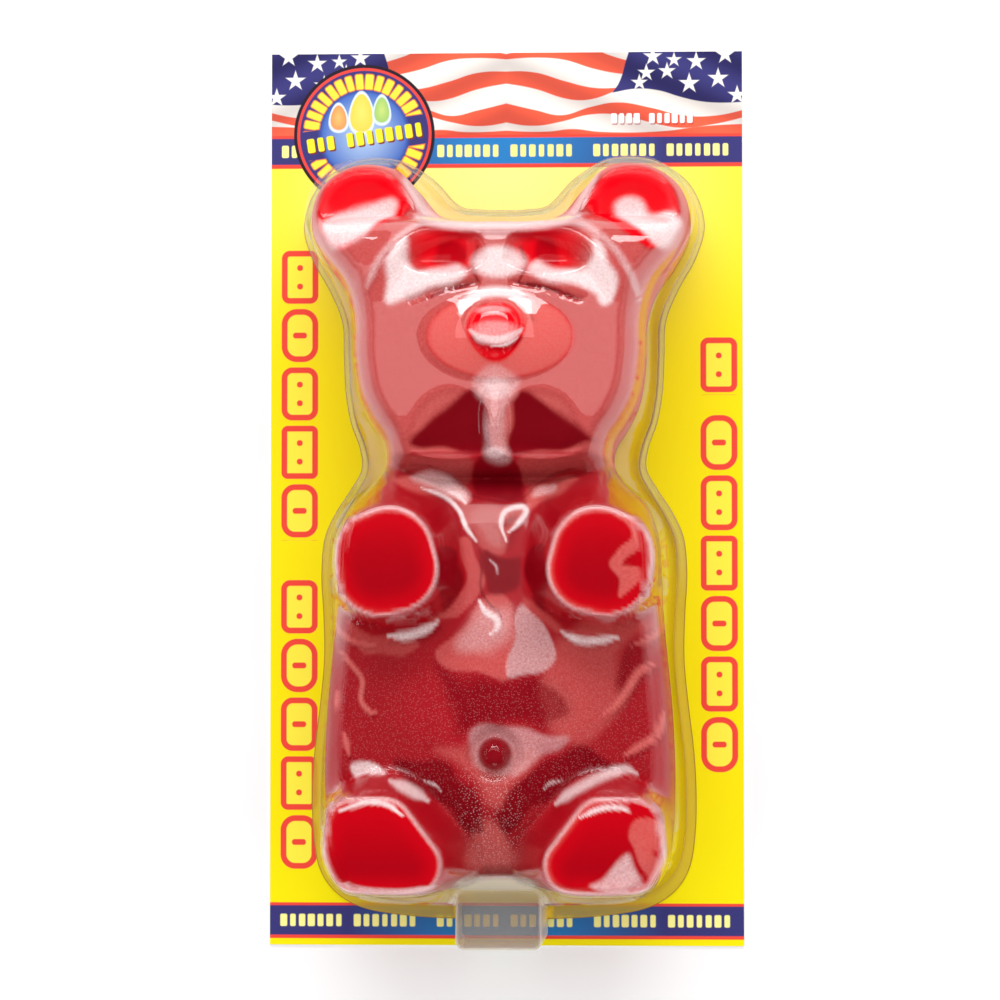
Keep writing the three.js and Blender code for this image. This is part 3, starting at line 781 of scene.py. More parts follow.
@dataclass
class GummyBear:
    """The bear, cast in one piece, with a flat back."""

    relief: Relief
    rows: int = 760
    side_steps: int = 22
    top_steps: int = 92

    def build(self) -> bpy.types.Object:
        """Builds the relief on rows that run from the outline to the spine, closed by a flat back."""
        t = np.arange(self.rows) / self.rows
        start, along = self.relief.curve(Column.BEAR, t)
        end = self.relief.spine(t)
        lengths = np.linalg.norm(end - start, axis=1)
        steps = self.relief.row_steps(self.side_steps, self.top_steps, lengths)
        way = (end - start) / lengths[:, None]
        plan = start[:, None] + way[:, None] * steps[..., None]
        x, y = plan[..., 0], plan[..., 1]
        lean = way[:, 1] * along[:, 0] - way[:, 0] * along[:, 1]
        inset = lerp(steps * lean[:, None], self.relief.inset(x, y), smoothstep(steps, 0.5, 3))
        z = self.relief.height(x, y, inset)
        z[:, 0] = BACK
        piece = close_rows("gummy_bear", np.dstack([x, y, z]), end, BACK)
        piece.data.set_sharp_from_angle(angle=math.radians(70))
        self.paint(piece)
        piece.data.materials.append(Gummy().material())
        return piece

    def painted(self, x: Array, y: Array) -> dict[Look, Array]:
        """Returns what patches, spots and strokes lay on each place, the strongest one of each look."""
        fields = {look: np.zeros(len(x)) for look in Look}

        def lay(look: Look, strength: float, cover: Array) -> None:
            """Keeps what is stronger: the field or the new cover."""
            fields[look] = np.maximum(fields[look], strength * cover)

        across = x + 0.6 * np.sin(0.45 * y + 1.3 * np.sin(0.25 * x))
        along = y + 0.6 * np.sin(0.4 * x + 1.1 * np.sin(0.3 * y))
        for look, strength, blur, points in entries(PATCHES):
            border, _ = catmull(np.array(points, dtype=float), np.arange(4 * len(points)) / (4 * len(points)))
            lay(look, strength, smoothstep(0.5 - polygon_distance(border, across, along) / blur, 0, 1))
        for look, strength, blur, (cx, cy), (rx, ry) in entries(SPOTS):
            away = (np.hypot((x - cx) / rx, (y - cy) / ry) - 1) * min(rx, ry)
            lay(look, strength, smoothstep(0.5 - away / blur, 0, 1))
        for look, strength, width, points in entries(STROKES):
            line = catmull_open(np.array(points, dtype=float), 8)
            ends = np.minimum(*(np.hypot(x - end[0], y - end[1]) for end in (line[0], line[-1])))
            thin = width * (0.35 + 0.65 * smoothstep(ends, 0, 5))
            lay(look, strength, np.clip(1.5 - line_distance(line, x, y) / thin, 0, 1))
            # Beside each pale stroke lies a line of painted shade, so that the stroke looks raised.
            if look in (Look.PAINTED_GLINT, Look.PAINTED_SHEEN):
                under = line_distance(line, x - 0.5 * width, y + 1.4 * width)
                lay(Look.PAINTED_SHADE, 0.8 * strength, np.clip(1.3 - under / thin, 0, 1))
        return fields

    def paint(self, piece: bpy.types.Object) -> None:
        """Stores where the film wets the gummy, where painted shade, a painted sheen and painted highlights lie, and
        where bubbles show.
        """
        x, y, _ = places(piece).T
        x = x - BLISTER_SHIFT
        ax = np.abs(x)
        fields = self.painted(x, y)
        inset = self.relief.inset(x, y)
        beside = np.minimum(*(limb.outside(ax, y) - limb.round for limb in (self.relief.arm, self.relief.leg)))
        faces = smoothstep(-beside, -0.5, 1.5)
        ears = disc(ax - 44.4, y - 92.3, 16) * np.clip((y - 113.5 + 0.73 * ax) / 2, 0, 1)
        sockets = bump(ax - 16.5, y - 78, 13.5, 9) ** 0.35
        knob = disc(x, y - NAVEL, 6)
        nose = disc((x - 0.4) * (1.25 - 0.25 * smoothstep(y, 42, 52)), y - 50.5, 10.3)
        wet = np.maximum.reduce([fields[Look.WET], faces, ears, sockets])
        shade = fields[Look.PAINTED_SHADE] * (1 - faces)
        # The film's reflection is painted as a sheen over the head, down to the chin.
        chin = lerp(11.5, 7.5, smoothstep(ax, 26, 34))
        head = smoothstep(y - chin, 0, 1.5) * (1 - shade) * (1 - wet)
        # Near the outline the head gets a stronger painted sheen, and the whole outline a faint one.
        rim = (1 - smoothstep(inset, 1, 9)) * (1 - faces)
        outline_sheen = (1 - smoothstep(inset, 0.5, 3.5)) * (1 - faces)
        # Painted shade on the limbs' walls, and on their faces, deeper inward from the rims and varying down them.
        walls = smoothstep(beside, 0.3, 1.2) * (1 - smoothstep(beside, 5, 9))
        wet = np.maximum(wet, 0.4 * walls)
        middle = smoothstep(-beside, 1, 9) * (0.5 - 0.5 * np.sin((y + np.where(y > -70, 16, 112)) / 9))
        shade = np.maximum.reduce([shade, 0.5 * walls, (0.42 + 0.3 * np.clip(middle, 0, 1)) * faces])
        # A painted sheen along the left rim of each paw and sole face.
        painted_rim_sheen = (1 - smoothstep(-beside, 0.3, 3)) * np.clip(0.4 - (x - 35.5 * np.sign(x)) / 16, 0, 1)
        # The head's painted sheen is stronger in the cheek hollows and on the muzzle.
        dent = np.maximum(self.relief.cheek(ax, y), self.relief.muzzle(x, y))
        even = 0.5 + 0.16 * smoothstep(dent, 0, 0.1)
        veil = np.maximum.reduce([fields[Look.PAINTED_SHEEN], even * head, 0.75 * head * rim, 0.12 * outline_sheen])
        # A thin painted highlight runs round the rim of each paw and sole face.
        edge = np.abs(beside + 0.4)
        frost = np.maximum(fields[Look.PAINTED_GLINT] * (1 - knob), 0.36 * np.clip(1.5 - edge / 0.65, 0, 1))
        grain = np.maximum(fields[Look.GRAIN], 0.25 * smoothstep(-y, 40, 70)) * (1 - faces) * (1 - walls) * (1 - knob)
        veil = veil * (1 - np.maximum.reduce([ears, sockets, knob, 0.8 * smoothstep(fields[Look.PAINTED_SHADE], 0.6, 1)]))
        veil = np.where(faces > 0.5, np.maximum(fields[Look.PAINTED_SHEEN], 0.55 * painted_rim_sheen), veil)
        veil = veil * (1 - nose)
        for look, values in zip(Look, (wet, shade, veil, frost, grain)):
            write_attribute(piece, look.value, np.clip(values, 0, 1))


# ---------------------------------------------------------------- the blister

# Where the film lies so close that it hardly mirrors, on both sides alike: share, middle, half widths.
CALM = (
    (0.9, (44.4, 97), (15, 12)),
    (0.8, (16.5, 79), (14, 9)),
    (0.4, (0, 51), (10, 10)),
    (0.85, (0, -6), (18, 7)),
    (0.8, (0, -26), (22, 20)),
    (0.6, (0, -68), (36, 18)),
    (0.6, (16, -98), (20, 12)),
    (0.8, (57, -73), (8, 36)),
    (0.92, (0, 9), (36, 7)),
)


@dataclass(frozen=True)
class ClearFilm:
    """Clear formed film: it mirrors by Fresnel, is yellowed at its flange and brown at the cut edge and the bend."""

    flange: Colour = srgb(243, 214, 62)
    line: Colour = srgb(136, 82, 0)
    frost: Colour = srgb(236, 230, 214)

    def material(self) -> bpy.types.Material:
        """Returns the material, driven by the film's painted attributes."""
        tree = Tree("clear_film")
        edge, flat, haze, calm, wall = (tree.attribute(name) for name in ("edge", "flange", "haze", "calm", "wall"))
        normal = tree.relief(tree.noise(18, 1), 0.12)
        colour = tree.mix(tree.mix(self.frost, self.flange, flat), self.line, edge)
        body = tree.principled({"Base Color": colour, "Roughness": 0.35, "Normal": normal})
        clear = tree.node("ShaderNodeBsdfTransparent", values={"Color": WHITE})
        gloss = tree.node("ShaderNodeBsdfGlossy", values={"Color": WHITE, "Roughness": 0.04, "Normal": normal})
        facing = tree.node("ShaderNodeLayerWeight", values={"Blend": 0.5, "Normal": normal}, output="Facing")
        fresnel = (0.04 + 0.5 * facing ** 5 * (1 - wall * 0.85)) * (1 - calm)
        cover = tree.clamp(edge * 0.7 + flat * 0.5 + haze)
        solid = tree.node("ShaderNodeMixShader", values={0: cover, 1: clear, 2: body})
        return tree.finish(tree.node("ShaderNodeMixShader", values={0: fresnel, 1: solid, 2: gloss}))


@dataclass
class Blister:
    """The clear thermoformed cover: flange, drafted wall, dome over the bear and foot tab."""

    relief: Relief
    rows: int = 480
    side_steps: int = 18
    top_steps: int = 60
    draft: float = 3.2
    wall: float = 40
    ledge: float = 6
    tab_width: float = 15
    tab_bottom: float = -151.5
    tab_back: float = -116
    tab_level: float = 45
    bridge: tuple[float, float, float] = (-133, -124, 62)

    def rim(self, t: Array) -> tuple[Array, Array]:
        """Returns places on the flange's edge and the directions that run in from there."""
        edge, along = self.relief.curve(Column.FLANGE, t)
        return edge, np.stack([-along[:, 1], along[:, 0]], axis=1)

    def foot(self, t: Array) -> Array:
        """Returns where the wall meets the flange: the flange's edge moved inward by its width."""
        edge, inward = self.rim(t)
        y = edge[:, 1]
        width = lerp(3.3, 2.2, smoothstep(y, -10, 20)) + 1.3 * (1 - smoothstep(y, -138, -118))
        return edge + inward * width[:, None]

    def dome(self, name: str, inward: float, floor: float) -> bpy.types.Object:
        """The cover's outer skin or its hollow as a closed solid.

        Args:
            name: A name for the solid.
            inward: 0 for the skin, the film's thickness for the hollow.
            floor: Level of its flat underside.

        Returns:
            The solid: a skirt, then the bear's relief swollen by the gap and what is left of the film.
        """
        t = np.arange(self.rows) / self.rows
        grow = GAP + FILM - inward
        foot, (start, _), end = self.foot(t), self.relief.curve(Column.BEAR, t), self.relief.spine(t)
        reach = np.linalg.norm(start - foot, axis=1)[:, None]
        draft = np.minimum(self.draft, 0.7 * reach)

        def skirt(d: Array) -> Array:
            """Returns the level of wall and ledge at a distance inside the foot."""
            return FLANGE_LEVEL - inward + self.wall * np.clip(d / draft, 0, 1) + np.clip(d - draft, 0, self.ledge)

        shares = np.linspace(0, 1, 9)[None, :] * draft
        outer = foot[:, None] + (start - foot)[:, None] * ((shares + inward) / reach)[..., None]
        outer_z = skirt(shares)
        outer_z[:, 0] = floor
        lengths = np.linalg.norm(end - start, axis=1)
        steps = self.relief.row_steps(self.side_steps, self.top_steps, lengths)
        plan = start[:, None] + (end - start)[:, None] * (steps / lengths[:, None])[..., None]
        x, y = plan[..., 0], plan[..., 1]
        inset = self.relief.inset(x, y)
        z = smooth_max(self.relief.height(x, y, inset, grow), skirt(reach + inset - inward), 2)
        grid = np.dstack([np.vstack([outer.T[0], x.T]).T, np.vstack([outer.T[1], y.T]).T, np.hstack([outer_z, z])])
        return close_rows(name, grid, end, floor)

    def tab(self, name: str, inward: float, floor: float) -> bpy.types.Object:
        """The foot tab as a closed solid: rings that run in from a rounded box's outline to its middle line.

        Args:
            name: A name for the solid.
            inward: 0 for the skin, the film's thickness for the hollow.
            floor: Level of its flat underside.

        Returns:
            The solid, level at the tab and rising over the bridge toward the bear.
        """
        width, bottom = self.tab_width - inward, self.tab_bottom + inward
        corner, count = 3.5, 24
        angle = np.linspace(np.pi, 1.5 * np.pi, 9)
        left = np.column_stack([-width + corner + corner * np.cos(angle), bottom + corner + corner * np.sin(angle)])
        right = left[::-1] * (-1, 1)
        side_y = np.linspace(self.tab_back, bottom + corner, count)[:-1]
        base = np.column_stack([np.linspace(left[-1, 0], right[0, 0], count)[1:-1], np.full(count - 2, bottom)])
        back = np.column_stack([np.linspace(width, -width, count)[1:-1], np.full(count - 2, self.tab_back)])
        loop = np.vstack([np.column_stack([np.full(count - 1, -width), side_y]), left, base, right,
                          np.column_stack([np.full(count - 1, width), side_y[::-1]]), back])
        middle = np.column_stack([np.zeros(len(loop)), np.clip(loop[:, 1], bottom + width, self.tab_back - 2)])
        reach = np.linalg.norm(middle - loop, axis=1)[:, None]
        fillet, taper = 2.5, 0.8
        arc = np.linspace(0, np.pi / 2, 7)
        distances = np.concatenate([[0], taper + fillet * (1 - np.cos(arc))])
        share = np.minimum(distances[None, :] / reach, 1)
        share = np.hstack([share, lerp(share[:, -1:], 1, np.linspace(0, 1, 10)[None, 1:])])
        plan = loop[:, None] + (middle - loop)[:, None] * share[..., None]
        low, high, top_level = self.bridge
        level = self.tab_level - inward + (top_level - self.tab_level) * smoothstep(plan[..., 1], low, high)
        drop = np.concatenate([[0], fillet * (1 - np.sin(arc)), np.zeros(9)])
        z = level - drop[None, :]
        z[:, 0] = floor
        return close_rows(name, np.dstack([plan, z]), middle, floor)

    def flange(self) -> bpy.types.Object:
        """Returns the flange as a plate out to its edge curve, with a softened upper edge."""
        t = np.arange(self.rows) / self.rows
        edge, inward = self.rim(t)
        depths = np.array([0.0, 0.0, 0.08, 0.2, 0.5, 0.8, 1.3, 1.8])
        levels = FLANGE_LEVEL + np.array([0.0, 0.4, 0.55, FILM, FILM, FILM, FILM, FILM])
        rings = edge[:, None] + inward[:, None] * depths[None, :, None]
        grid = np.dstack([rings, np.tile(levels, (self.rows, 1))])
        ends = self.relief.spine(t)
        top = np.column_stack([ends, np.full(self.rows, levels[-1])])
        return close_rows("flange_plate", np.hstack([grid, top[:, None]]), ends, FLANGE_LEVEL)

    def build(self) -> bpy.types.Object:
        """Joins dome, tab and flange and cuts their hollow out."""
        piece = self.dome("blister_film", 0, FLANGE_LEVEL)
        combine(piece, self.tab("tab_skin", 0, FLANGE_LEVEL), "UNION")
        combine(piece, self.flange(), "UNION")
        hollow = self.dome("hollow", FILM, FLANGE_LEVEL - 1)
        combine(hollow, self.tab("tab_hollow", FILM, FLANGE_LEVEL - 1), "UNION")
        combine(piece, hollow, "DIFFERENCE")
        piece.data.polygons.foreach_set("use_smooth", np.ones(len(piece.data.polygons), dtype=bool))
        piece.data.set_sharp_from_angle(angle=math.radians(50))
        self.paint(piece)
        piece.data.materials.append(ClearFilm().material())
        return piece

    def paint(self, piece: bpy.types.Object) -> None:
        """Stores where the film is yellow, brown or hazy, where it hardly mirrors and where it is a wall."""
        x, y, z = places(piece).T
        x = x - BLISTER_SHIFT
        near_rim = 1 - smoothstep(line_distance(self.rim(OUTLINE)[0], x, y, True), 0.25, 0.6)
        near_foot = 1 - smoothstep(line_distance(self.foot(OUTLINE), x, y, True), 0.2, 0.9)
        # Beside the neck the brown line at the wall's foot is stronger: painted shade as well as the film's bend.
        neck = smoothstep(y, -40, 0) * (1 - smoothstep(y, 55, 75))
        low = (z > FLANGE_LEVEL + 0.3) & (z < FLANGE_LEVEL + 1)
        border = np.minimum(self.tab_width - np.abs(x), y - self.tab_bottom)
        tab = 0.15 + 0.5 * (1 - smoothstep(border, 0.6, 2))
        bridge = 0.45 * (1 - smoothstep(np.abs(x), 11, 15)) * (1 - smoothstep(np.abs(y + 128.5), 1.5, 4))
        write_attribute(piece, "edge", np.where(low, np.maximum(0.8 * near_rim, near_foot * (0.35 + 0.6 * neck)), 0))
        write_attribute(piece, "flange", np.where(low, lerp(1, 0.2, smoothstep(y, -40, 20)), 0.0))
        write_attribute(piece, "wall", 1 - smoothstep(z, 30, 50))
        calm = np.zeros(len(x))
        for share, (cx, cy), (rx, ry) in CALM:
            away = np.hypot((np.abs(x) - cx) / rx, (y - cy) / ry)
            calm = np.maximum(calm, share * (1 - smoothstep(away, 0.7, 1.1)))
        write_attribute(piece, "calm", calm)
        write_attribute(piece, "haze", np.where((border > -1) & (y < -131), tab, bridge * (z > 40)))


# ---------------------------------------------------------------- the printed card

Curve = tuple[tuple[float, float], ...]  # points of a smooth curve


@dataclass(frozen=True)
class Run:
    """A column of shapes: its middle line, upper end, pitch and number, and a gap below the level `split`."""

    centre: float
    top: float
    pitch: float
    count: int
    split: float
    gap: float


@dataclass(frozen=True)
class Print:
    """The card's print: a waving striped and starred band, a yellow field, strips, a roundel and side columns."""

    yellow: Colour = srgb(246, 232, 0)
    pale: Colour = srgb(255, 250, 150)
    fill: Colour = srgb(250, 240, 70)
    red: Colour = srgb(238, 72, 58)
    stripe: Colour = srgb(252, 100, 70)
    white: Colour = srgb(243, 241, 234)
    navy: Colour = srgb(58, 56, 120)
    sky: Colour = srgb(40, 130, 200)
    third: float = 53.6  # length of one of a strip's three parts
    rays: int = 34  # bars round the badge
    badge: tuple[float, float] = (-48.9, 124.8)  # the badge's middle
    flag_low: float = 124.6  # the flag's lower edge
    rule: float = 113.2  # lower edge of the red ground of the head's strip
    head_strip: tuple[float, float] = (114.6, 123.6)  # lower and upper edge
    foot_strip: tuple[float, float] = (-149.5, -139.5)
    foot_band: tuple[float, float] = (-144.6, 6.1)  # middle and half height of the red ground of the foot's strip
    runs: tuple[Run, ...] = (Run(-71, 85.8, 20.1, 10, -14.8, 12.8), Run(72.7, 55.4, 20.6, 7, 34.8, 6))
    # The flag's stripes: upper and lower edge of each, from the card's middle out.
    bands: tuple[tuple[Curve, Curve], ...] = (
        (((0, 126), (14, 125.6), (23, 126.4), (32, 125.4), (55, 125.6), (66, 127), (81, 127.8)),
         ((0, 124), (81, 124))),
        (((0, 135.4), (10, 133), (19, 131.2), (29, 134), (38, 135.5), (50, 133.5), (60, 131), (70, 130.6),
          (81, 132.6)),
         ((0, 128.8), (10, 127.6), (19, 129), (29, 131.4), (40, 131), (50, 128.4), (60, 126.6), (70, 127.6),
          (81, 130))),
        (((0, 146.4), (10, 146), (20, 143), (30, 140.6), (40, 140.6), (81, 141)),
         ((0, 142.2), (10, 140.3), (20, 137), (25, 136.3), (30, 136.8), (40, 140), (81, 140.4))),
        (((0, 152.4), (6, 153.6), (30, 154), (35, 152), (44, 149.6), (81, 149)),
         ((0, 150.6), (12, 151.1), (20, 150.3), (30, 147.2), (40, 145.3), (81, 145))),
    )
    # The starred corners: inner edge by level, lower edge from the card's middle out.
    corner: tuple[Curve, Curve] = (
        ((130, 34), (138.9, 36.5), (141.5, 38.3), (145, 39.8), (149.5, 41), (155, 42.8)),
        ((0, 133), (36, 138.8), (45, 140.2), (52, 139.6), (60, 137.2), (66, 135.8), (72, 135.2), (81, 135.4)))
    # The stars' places and radii.
    stars: tuple[tuple[float, float, float], ...] = (
        (50.3, 151.3, 3.3), (57.6, 150.1, 2.6), (65.2, 149.5, 3.3), (75.1, 151.8, 3.4), (48.1, 145.7, 3),
        (55.2, 146.2, 3), (45.7, 142.3, 2.9), (62.8, 141.9, 3.6), (72.7, 143.6, 3.6), (79.2, 137.8, 3.3))

    def cover(self, tree: Tree, distance: Value, soft: float = 0.15) -> Sock:
        """Returns 1 where a signed distance is below 0, with a soft edge."""
        return tree.clamp(0.5 - distance / (2 * soft))

    def flag(self, tree: Tree, x: Sock, y: Sock) -> Sock:
        """Returns the waving band: stripes, with a starred corner at each end."""
        side = abs(x)
        crest = tree.clamp(0.5 + 0.5 * tree.maths("SINE", side * 0.16 + y * 0.35 - 50.6))
        red = tree.mix(self.stripe, srgb(204, 80, 60), crest)
        colour = tree.mix(self.white, srgb(205, 200, 194), crest)
        for upper, lower in self.bands:
            inside = tree.maths("MAXIMUM", y - tree.curve(side, upper), tree.curve(side, lower) - y)
            colour = tree.mix(colour, red, self.cover(tree, inside))
        inner, under = self.corner
        outside = tree.maths("MAXIMUM", tree.curve(side, under) - y, tree.curve(y, inner) - side)
        ground = tree.mix(self.navy, srgb(38, 34, 88), crest)
        for across, up, radius in self.stars:
            ground = tree.mix(ground, self.white, self.star(tree, side - across, y - up, radius))
        colour = tree.mix(colour, ground, self.cover(tree, outside))
        line = self.blocks(tree, x - 50, y - 130, (2.6, 1.7), 11, 4)
        shadow = self.blocks(tree, x - 50.3, y - 129.6, (2.6, 1.9), 11, 4)
        return tree.mix(tree.mix(colour, srgb(150, 30, 30), shadow * 0.6), (1, 1, 1), line)

    def star(self, tree: Tree, u: Sock, v: Sock, radius: float) -> Sock:
        """Returns a five-pointed star: a fifth of a turn folded on itself, inside one straight edge."""
        fifth = 2 * math.pi / 5
        angle = tree.maths("ARCTAN2", u, v)
        folded = abs(tree.maths("FLOORED_MODULO", angle + fifth / 2, fifth) - fifth / 2)
        reach = tree.length(u, v) * tree.maths("COSINE", folded - math.radians(72))
        return self.cover(tree, reach - 0.309 * radius)

    def blocks(self, tree: Tree, u: Sock, v: Sock, size: tuple[float, float], count: int, gap: int) -> Sock:
        """A row of plain rounded blocks of two or three widths.

        Args:
            tree: The tree to build in.
            u: Place along the row, from its middle.
            v: Place across it.
            size: The blocks' pitch and half height.
            count: How many fit in the row.
            gap: The number of the block that is left out.

        Returns:
            Where the blocks are.
        """
        pitch, half_height = size
        number = u / pitch + count / 2
        index = tree.maths("FLOOR", number)
        half_width = (0.4 - tree.scatter(index) * 0.12) * pitch
        block = self.bar(tree, tree.repeat(number, pitch), v, half_width, half_height, pitch * 0.18)
        inside = self.cover(tree, abs(u) - count * pitch / 2)
        return self.cover(tree, block) * inside * tree.clamp(abs(index - gap) * 2)

    def strip(self, tree: Tree, x: Sock, y: Sock, low: float, high: float) -> tuple[Sock, Sock]:
        """A strip across the card with three rows of blocks.

        Args:
            tree: The tree to build in.
            x: Place across the card.
            y: Place along the card.
            low: The strip's lower edge.
            high: Its upper edge.

        Returns:
            Its colour and where it covers the card.
        """
        middle = (low + high) / 2
        ground = tree.mix(self.sky, self.navy, tree.clamp((abs(x) - 12) / 42))
        u = tree.repeat((x + 0.5) / self.third + 0.5, self.third)
        mark = self.blocks(tree, u, y - middle, (3.15, 2.1), 15, 7)
        inside = self.cover(tree, abs(y - middle) - (high - low) / 2)
        return tree.mix(ground, srgb(250, 246, 150), mark), inside

    def bar(self, tree: Tree, u: Value, v: Value, half_width: float, half_height: float, corner: Value) -> Sock:
        """Returns the signed distance to a rounded bar."""
        du = tree.maths("MAXIMUM", abs(u) - half_width + corner, 0)
        dv = tree.maths("MAXIMUM", abs(v) - half_height + corner, 0)
        return tree.length(du, dv) - corner

    def column(self, tree: Tree, x: Sock, y: Sock, run: "Run") -> tuple[Sock, Sock]:
        """A column of outlined rounded shapes down one side.

        Args:
            tree: The tree to build in.
            x: Place across the card.
            y: Place along the card.
            run: The column's place and division.

        Returns:
            Where the outlines are and where the fills are.
        """
        level = y + run.gap * self.cover(tree, y - run.split)
        count = (run.top - level) / run.pitch
        u, v = x - run.centre, tree.repeat(count, run.pitch)
        chance = tree.scatter(tree.maths("FLOOR", count))
        outer = self.bar(tree, u, v, 6.3, run.pitch / 2 - 0.9, 2 + chance * 4)
        lying = tree.maths("GREATER_THAN", chance, 0.5)
        slit = self.bar(tree, u, abs(v) - 3.2 + lying * 3.2, 1 + lying * 1.4, 1, 0.9)
        inside = self.cover(tree, abs(count - run.count / 2) - run.count / 2, 0.01) * self.cover(
            tree, run.gap / 2 - abs(y - run.split + run.gap / 2))
        line = tree.maths("MINIMUM", abs(outer + 1) - 1, slit)
        return self.cover(tree, line) * inside, self.cover(tree, outer) * inside

    def roundel(self, tree: Tree, x: Sock, y: Sock) -> tuple[Sock, Sock]:
        """Returns the round badge's colour and cover: a barred ring round a sky disc with three drops and a row."""
        dx, dy = x - self.badge[0], y - self.badge[1]
        away = tree.length(dx, dy)
        disc = tree.mix(srgb(176, 208, 240), srgb(44, 92, 186), tree.clamp(away / 16))
        colour = tree.mix(self.navy, disc, self.cover(tree, away - 15.2, 1))
        for (cx, cy), (rx, ry), paint in (
                ((-8.9, 6), (2.7, 4.3), srgb(232, 92, 50)), ((-1, 7.6), (3.8, 6.6), srgb(250, 196, 30)),
                ((6, 8.6), (2.5, 4.4), srgb(96, 184, 90))):
            u, v = (dx - cx) / rx, (dy - cy) / ry
            drop = (tree.length(u * (1 + 0.25 * v), v) - 1) * rx
            colour = tree.mix(colour, srgb(214, 232, 246), self.cover(tree, drop - 0.6))
            colour = tree.mix(colour, tree.mix(paint, self.pale, tree.clamp(0.4 - drop / rx * 0.4) * 0.6),
                              self.cover(tree, drop))
        step = 2 * math.pi / self.rays
        turn = tree.maths("ARCTAN2", dx, dy) / step
        along = tree.repeat(turn, step) * away
        chance = tree.scatter(tree.maths("FLOOR", turn), 0)
        ray = self.bar(tree, along, away - 18.4, 1.3 - chance * 0.3, 2.5, 0.4)
        ray = tree.maths("MAXIMUM", ray, 5.5 - abs(dy + 1 - dx * 0.146))
        colour = tree.mix(colour, srgb(238, 130, 60), self.cover(tree, ray - 0.35))
        colour = tree.mix(colour, srgb(255, 238, 70), self.cover(tree, ray))
        u, v = dx * 0.989 + dy * 0.146, dy * 0.989 - dx * 0.146 + 1
        colour = tree.mix(colour, srgb(120, 52, 40), self.blocks(tree, u - 0.4, v + 0.5, (3.4, 2.5), 12, 3))
        row = self.blocks(tree, u, v, (3.4, 2.4), 12, 3)
        colour = tree.mix(colour, self.red, self.cover(tree, abs(away - 22.7) - 0.5))
        colour = tree.mix(colour, srgb(40, 30, 40), self.cover(tree, abs(away - 23.8) - 0.6))
        return tree.mix(colour, srgb(255, 240, 50), row), self.cover(tree, away - 24.3)

    def material(self, band: bool) -> bpy.types.Material:
        """Returns the glossy printed face: of the card's head with flag and badge, or of the plainer rest."""
        tree = Tree("printed_head" if band else "printed_field")
        x, y, _ = tree.millimetres()
        spread = (x / 62) * (x / 62) + ((y - 108) / 34) * ((y - 108) / 34)
        colour = tree.mix(self.yellow, self.pale, math.e ** -spread)
        for run in self.runs:
            outline, fill = self.column(tree, x, y, run)
            colour = tree.mix(colour, self.fill, fill)
            colour = tree.mix(colour, self.red, outline)
        if band:
            colour = tree.mix(colour, self.red, self.cover(tree, self.rule - y))
            colour = tree.mix(colour, self.flag(tree, x, y), self.cover(tree, self.flag_low - y))
            colour = tree.mix(colour, *self.strip(tree, x, y, *self.head_strip))
            colour = tree.mix(colour, *self.roundel(tree, x, y))
        else:
            middle, half = self.foot_band
            colour = tree.mix(colour, self.red, self.cover(tree, abs(y - middle) - half))
            colour = tree.mix(colour, *self.strip(tree, x, y, *self.foot_strip))
        fibre = tree.noise(0.6, 3)
        return tree.finish(tree.principled({
            "Base Color": colour, "Roughness": tree.clamp(0.3 + fibre * 0.15), "IOR": 1.25,
            "Normal": tree.relief(fibre, 0.01)}))


@dataclass(frozen=True)
class Board:
    """The card's bare board, seen at its cut edge and its back."""

    base: Colour = srgb(226, 222, 212)
    fleck: Colour = srgb(188, 182, 168)

    def material(self) -> bpy.types.Material:
        """Returns a pale fibrous board."""
        tree = Tree("card_board")
        fibre, cloud = tree.noise(0.35, 3, 0.7), tree.noise(6, 2)
        colour = tree.mix(self.base, self.fleck, tree.clamp((fibre - 0.55) * 3 + (cloud - 0.5) * 0.4))
        return tree.finish(tree.principled({
            "Base Color": colour, "Roughness": 0.75, "Normal": tree.relief(fibre, 0.03)}))


@dataclass
class PrintedCard:
    """The backing card: a thin board with softened edges, printed on its face."""

    width: float = 162
    length: float = 306
    soften: float = 0.15
    columns: int = 82
    rows: int = 154
    head: float = 97  # the face is printed as the card's head above this level and as its field below

    def build(self) -> bpy.types.Object:
        """Builds face, back and rounded cut edge as one closed mesh."""
        u = np.linspace(-1, 1, self.columns)
        v = np.linspace(-1, 1, self.rows)
        half_x, half_y = self.width / 2 - self.soften, self.length / 2 - self.soften
        gx, gy = np.meshgrid(u * half_x, v * half_y, indexing="ij")
        face = np.dstack([gx, gy, np.full_like(gx, CARD_THICKNESS)]).reshape(-1, 3)
        back = np.dstack([gx, gy, np.zeros_like(gx)]).reshape(-1, 3)
        quads = grid_faces(self.columns, self.rows, False)
        number = np.arange(self.columns * self.rows).reshape(self.columns, self.rows)
        loop = np.concatenate([number[:, 0], number[-1, 1:], number[-2::-1, -1], number[0, -2:0:-1]])
        corner = face[loop, :2]
        out = np.clip(corner / (half_x, half_y), -1, 1)
        out = np.where(np.abs(out) > 0.9999, np.sign(out), 0)
        arc = np.linspace(0, np.pi, 7)[1:-1]
        rings = [np.column_stack([corner + out * self.soften * math.sin(a),
                                  np.full(len(loop), CARD_THICKNESS * (0.5 + 0.5 * math.cos(a)))]) for a in arc]
        vertices = np.vstack([face, back, *rings])
        base = len(face) * 2
        chain = [loop, *(base + len(loop) * k + np.arange(len(loop)) for k in range(len(rings))), loop + len(face)]
        strips = [np.column_stack([a, b, np.roll(b, -1), np.roll(a, -1)]) for a, b in zip(chain, chain[1:])]
        faces = np.vstack([quads, quads[:, ::-1] + len(face), *strips])
        piece = add_object("printed_card", vertices, faces, smooth=False)
        for material in (Print().material(False), Print().material(True), Board().material()):
            piece.data.materials.append(material)
        normals, centres = np.empty((2, len(piece.data.polygons) * 3))
        piece.data.polygons.foreach_get("normal", normals)
        piece.data.polygons.foreach_get("center", centres)
        head = centres[1::3] > self.head * MM
        piece.data.polygons.foreach_set("material_index", np.where(normals[2::3] < 0.99, 2, head).astype(np.int32))
        return piece


# ---------------------------------------------------------------- studio

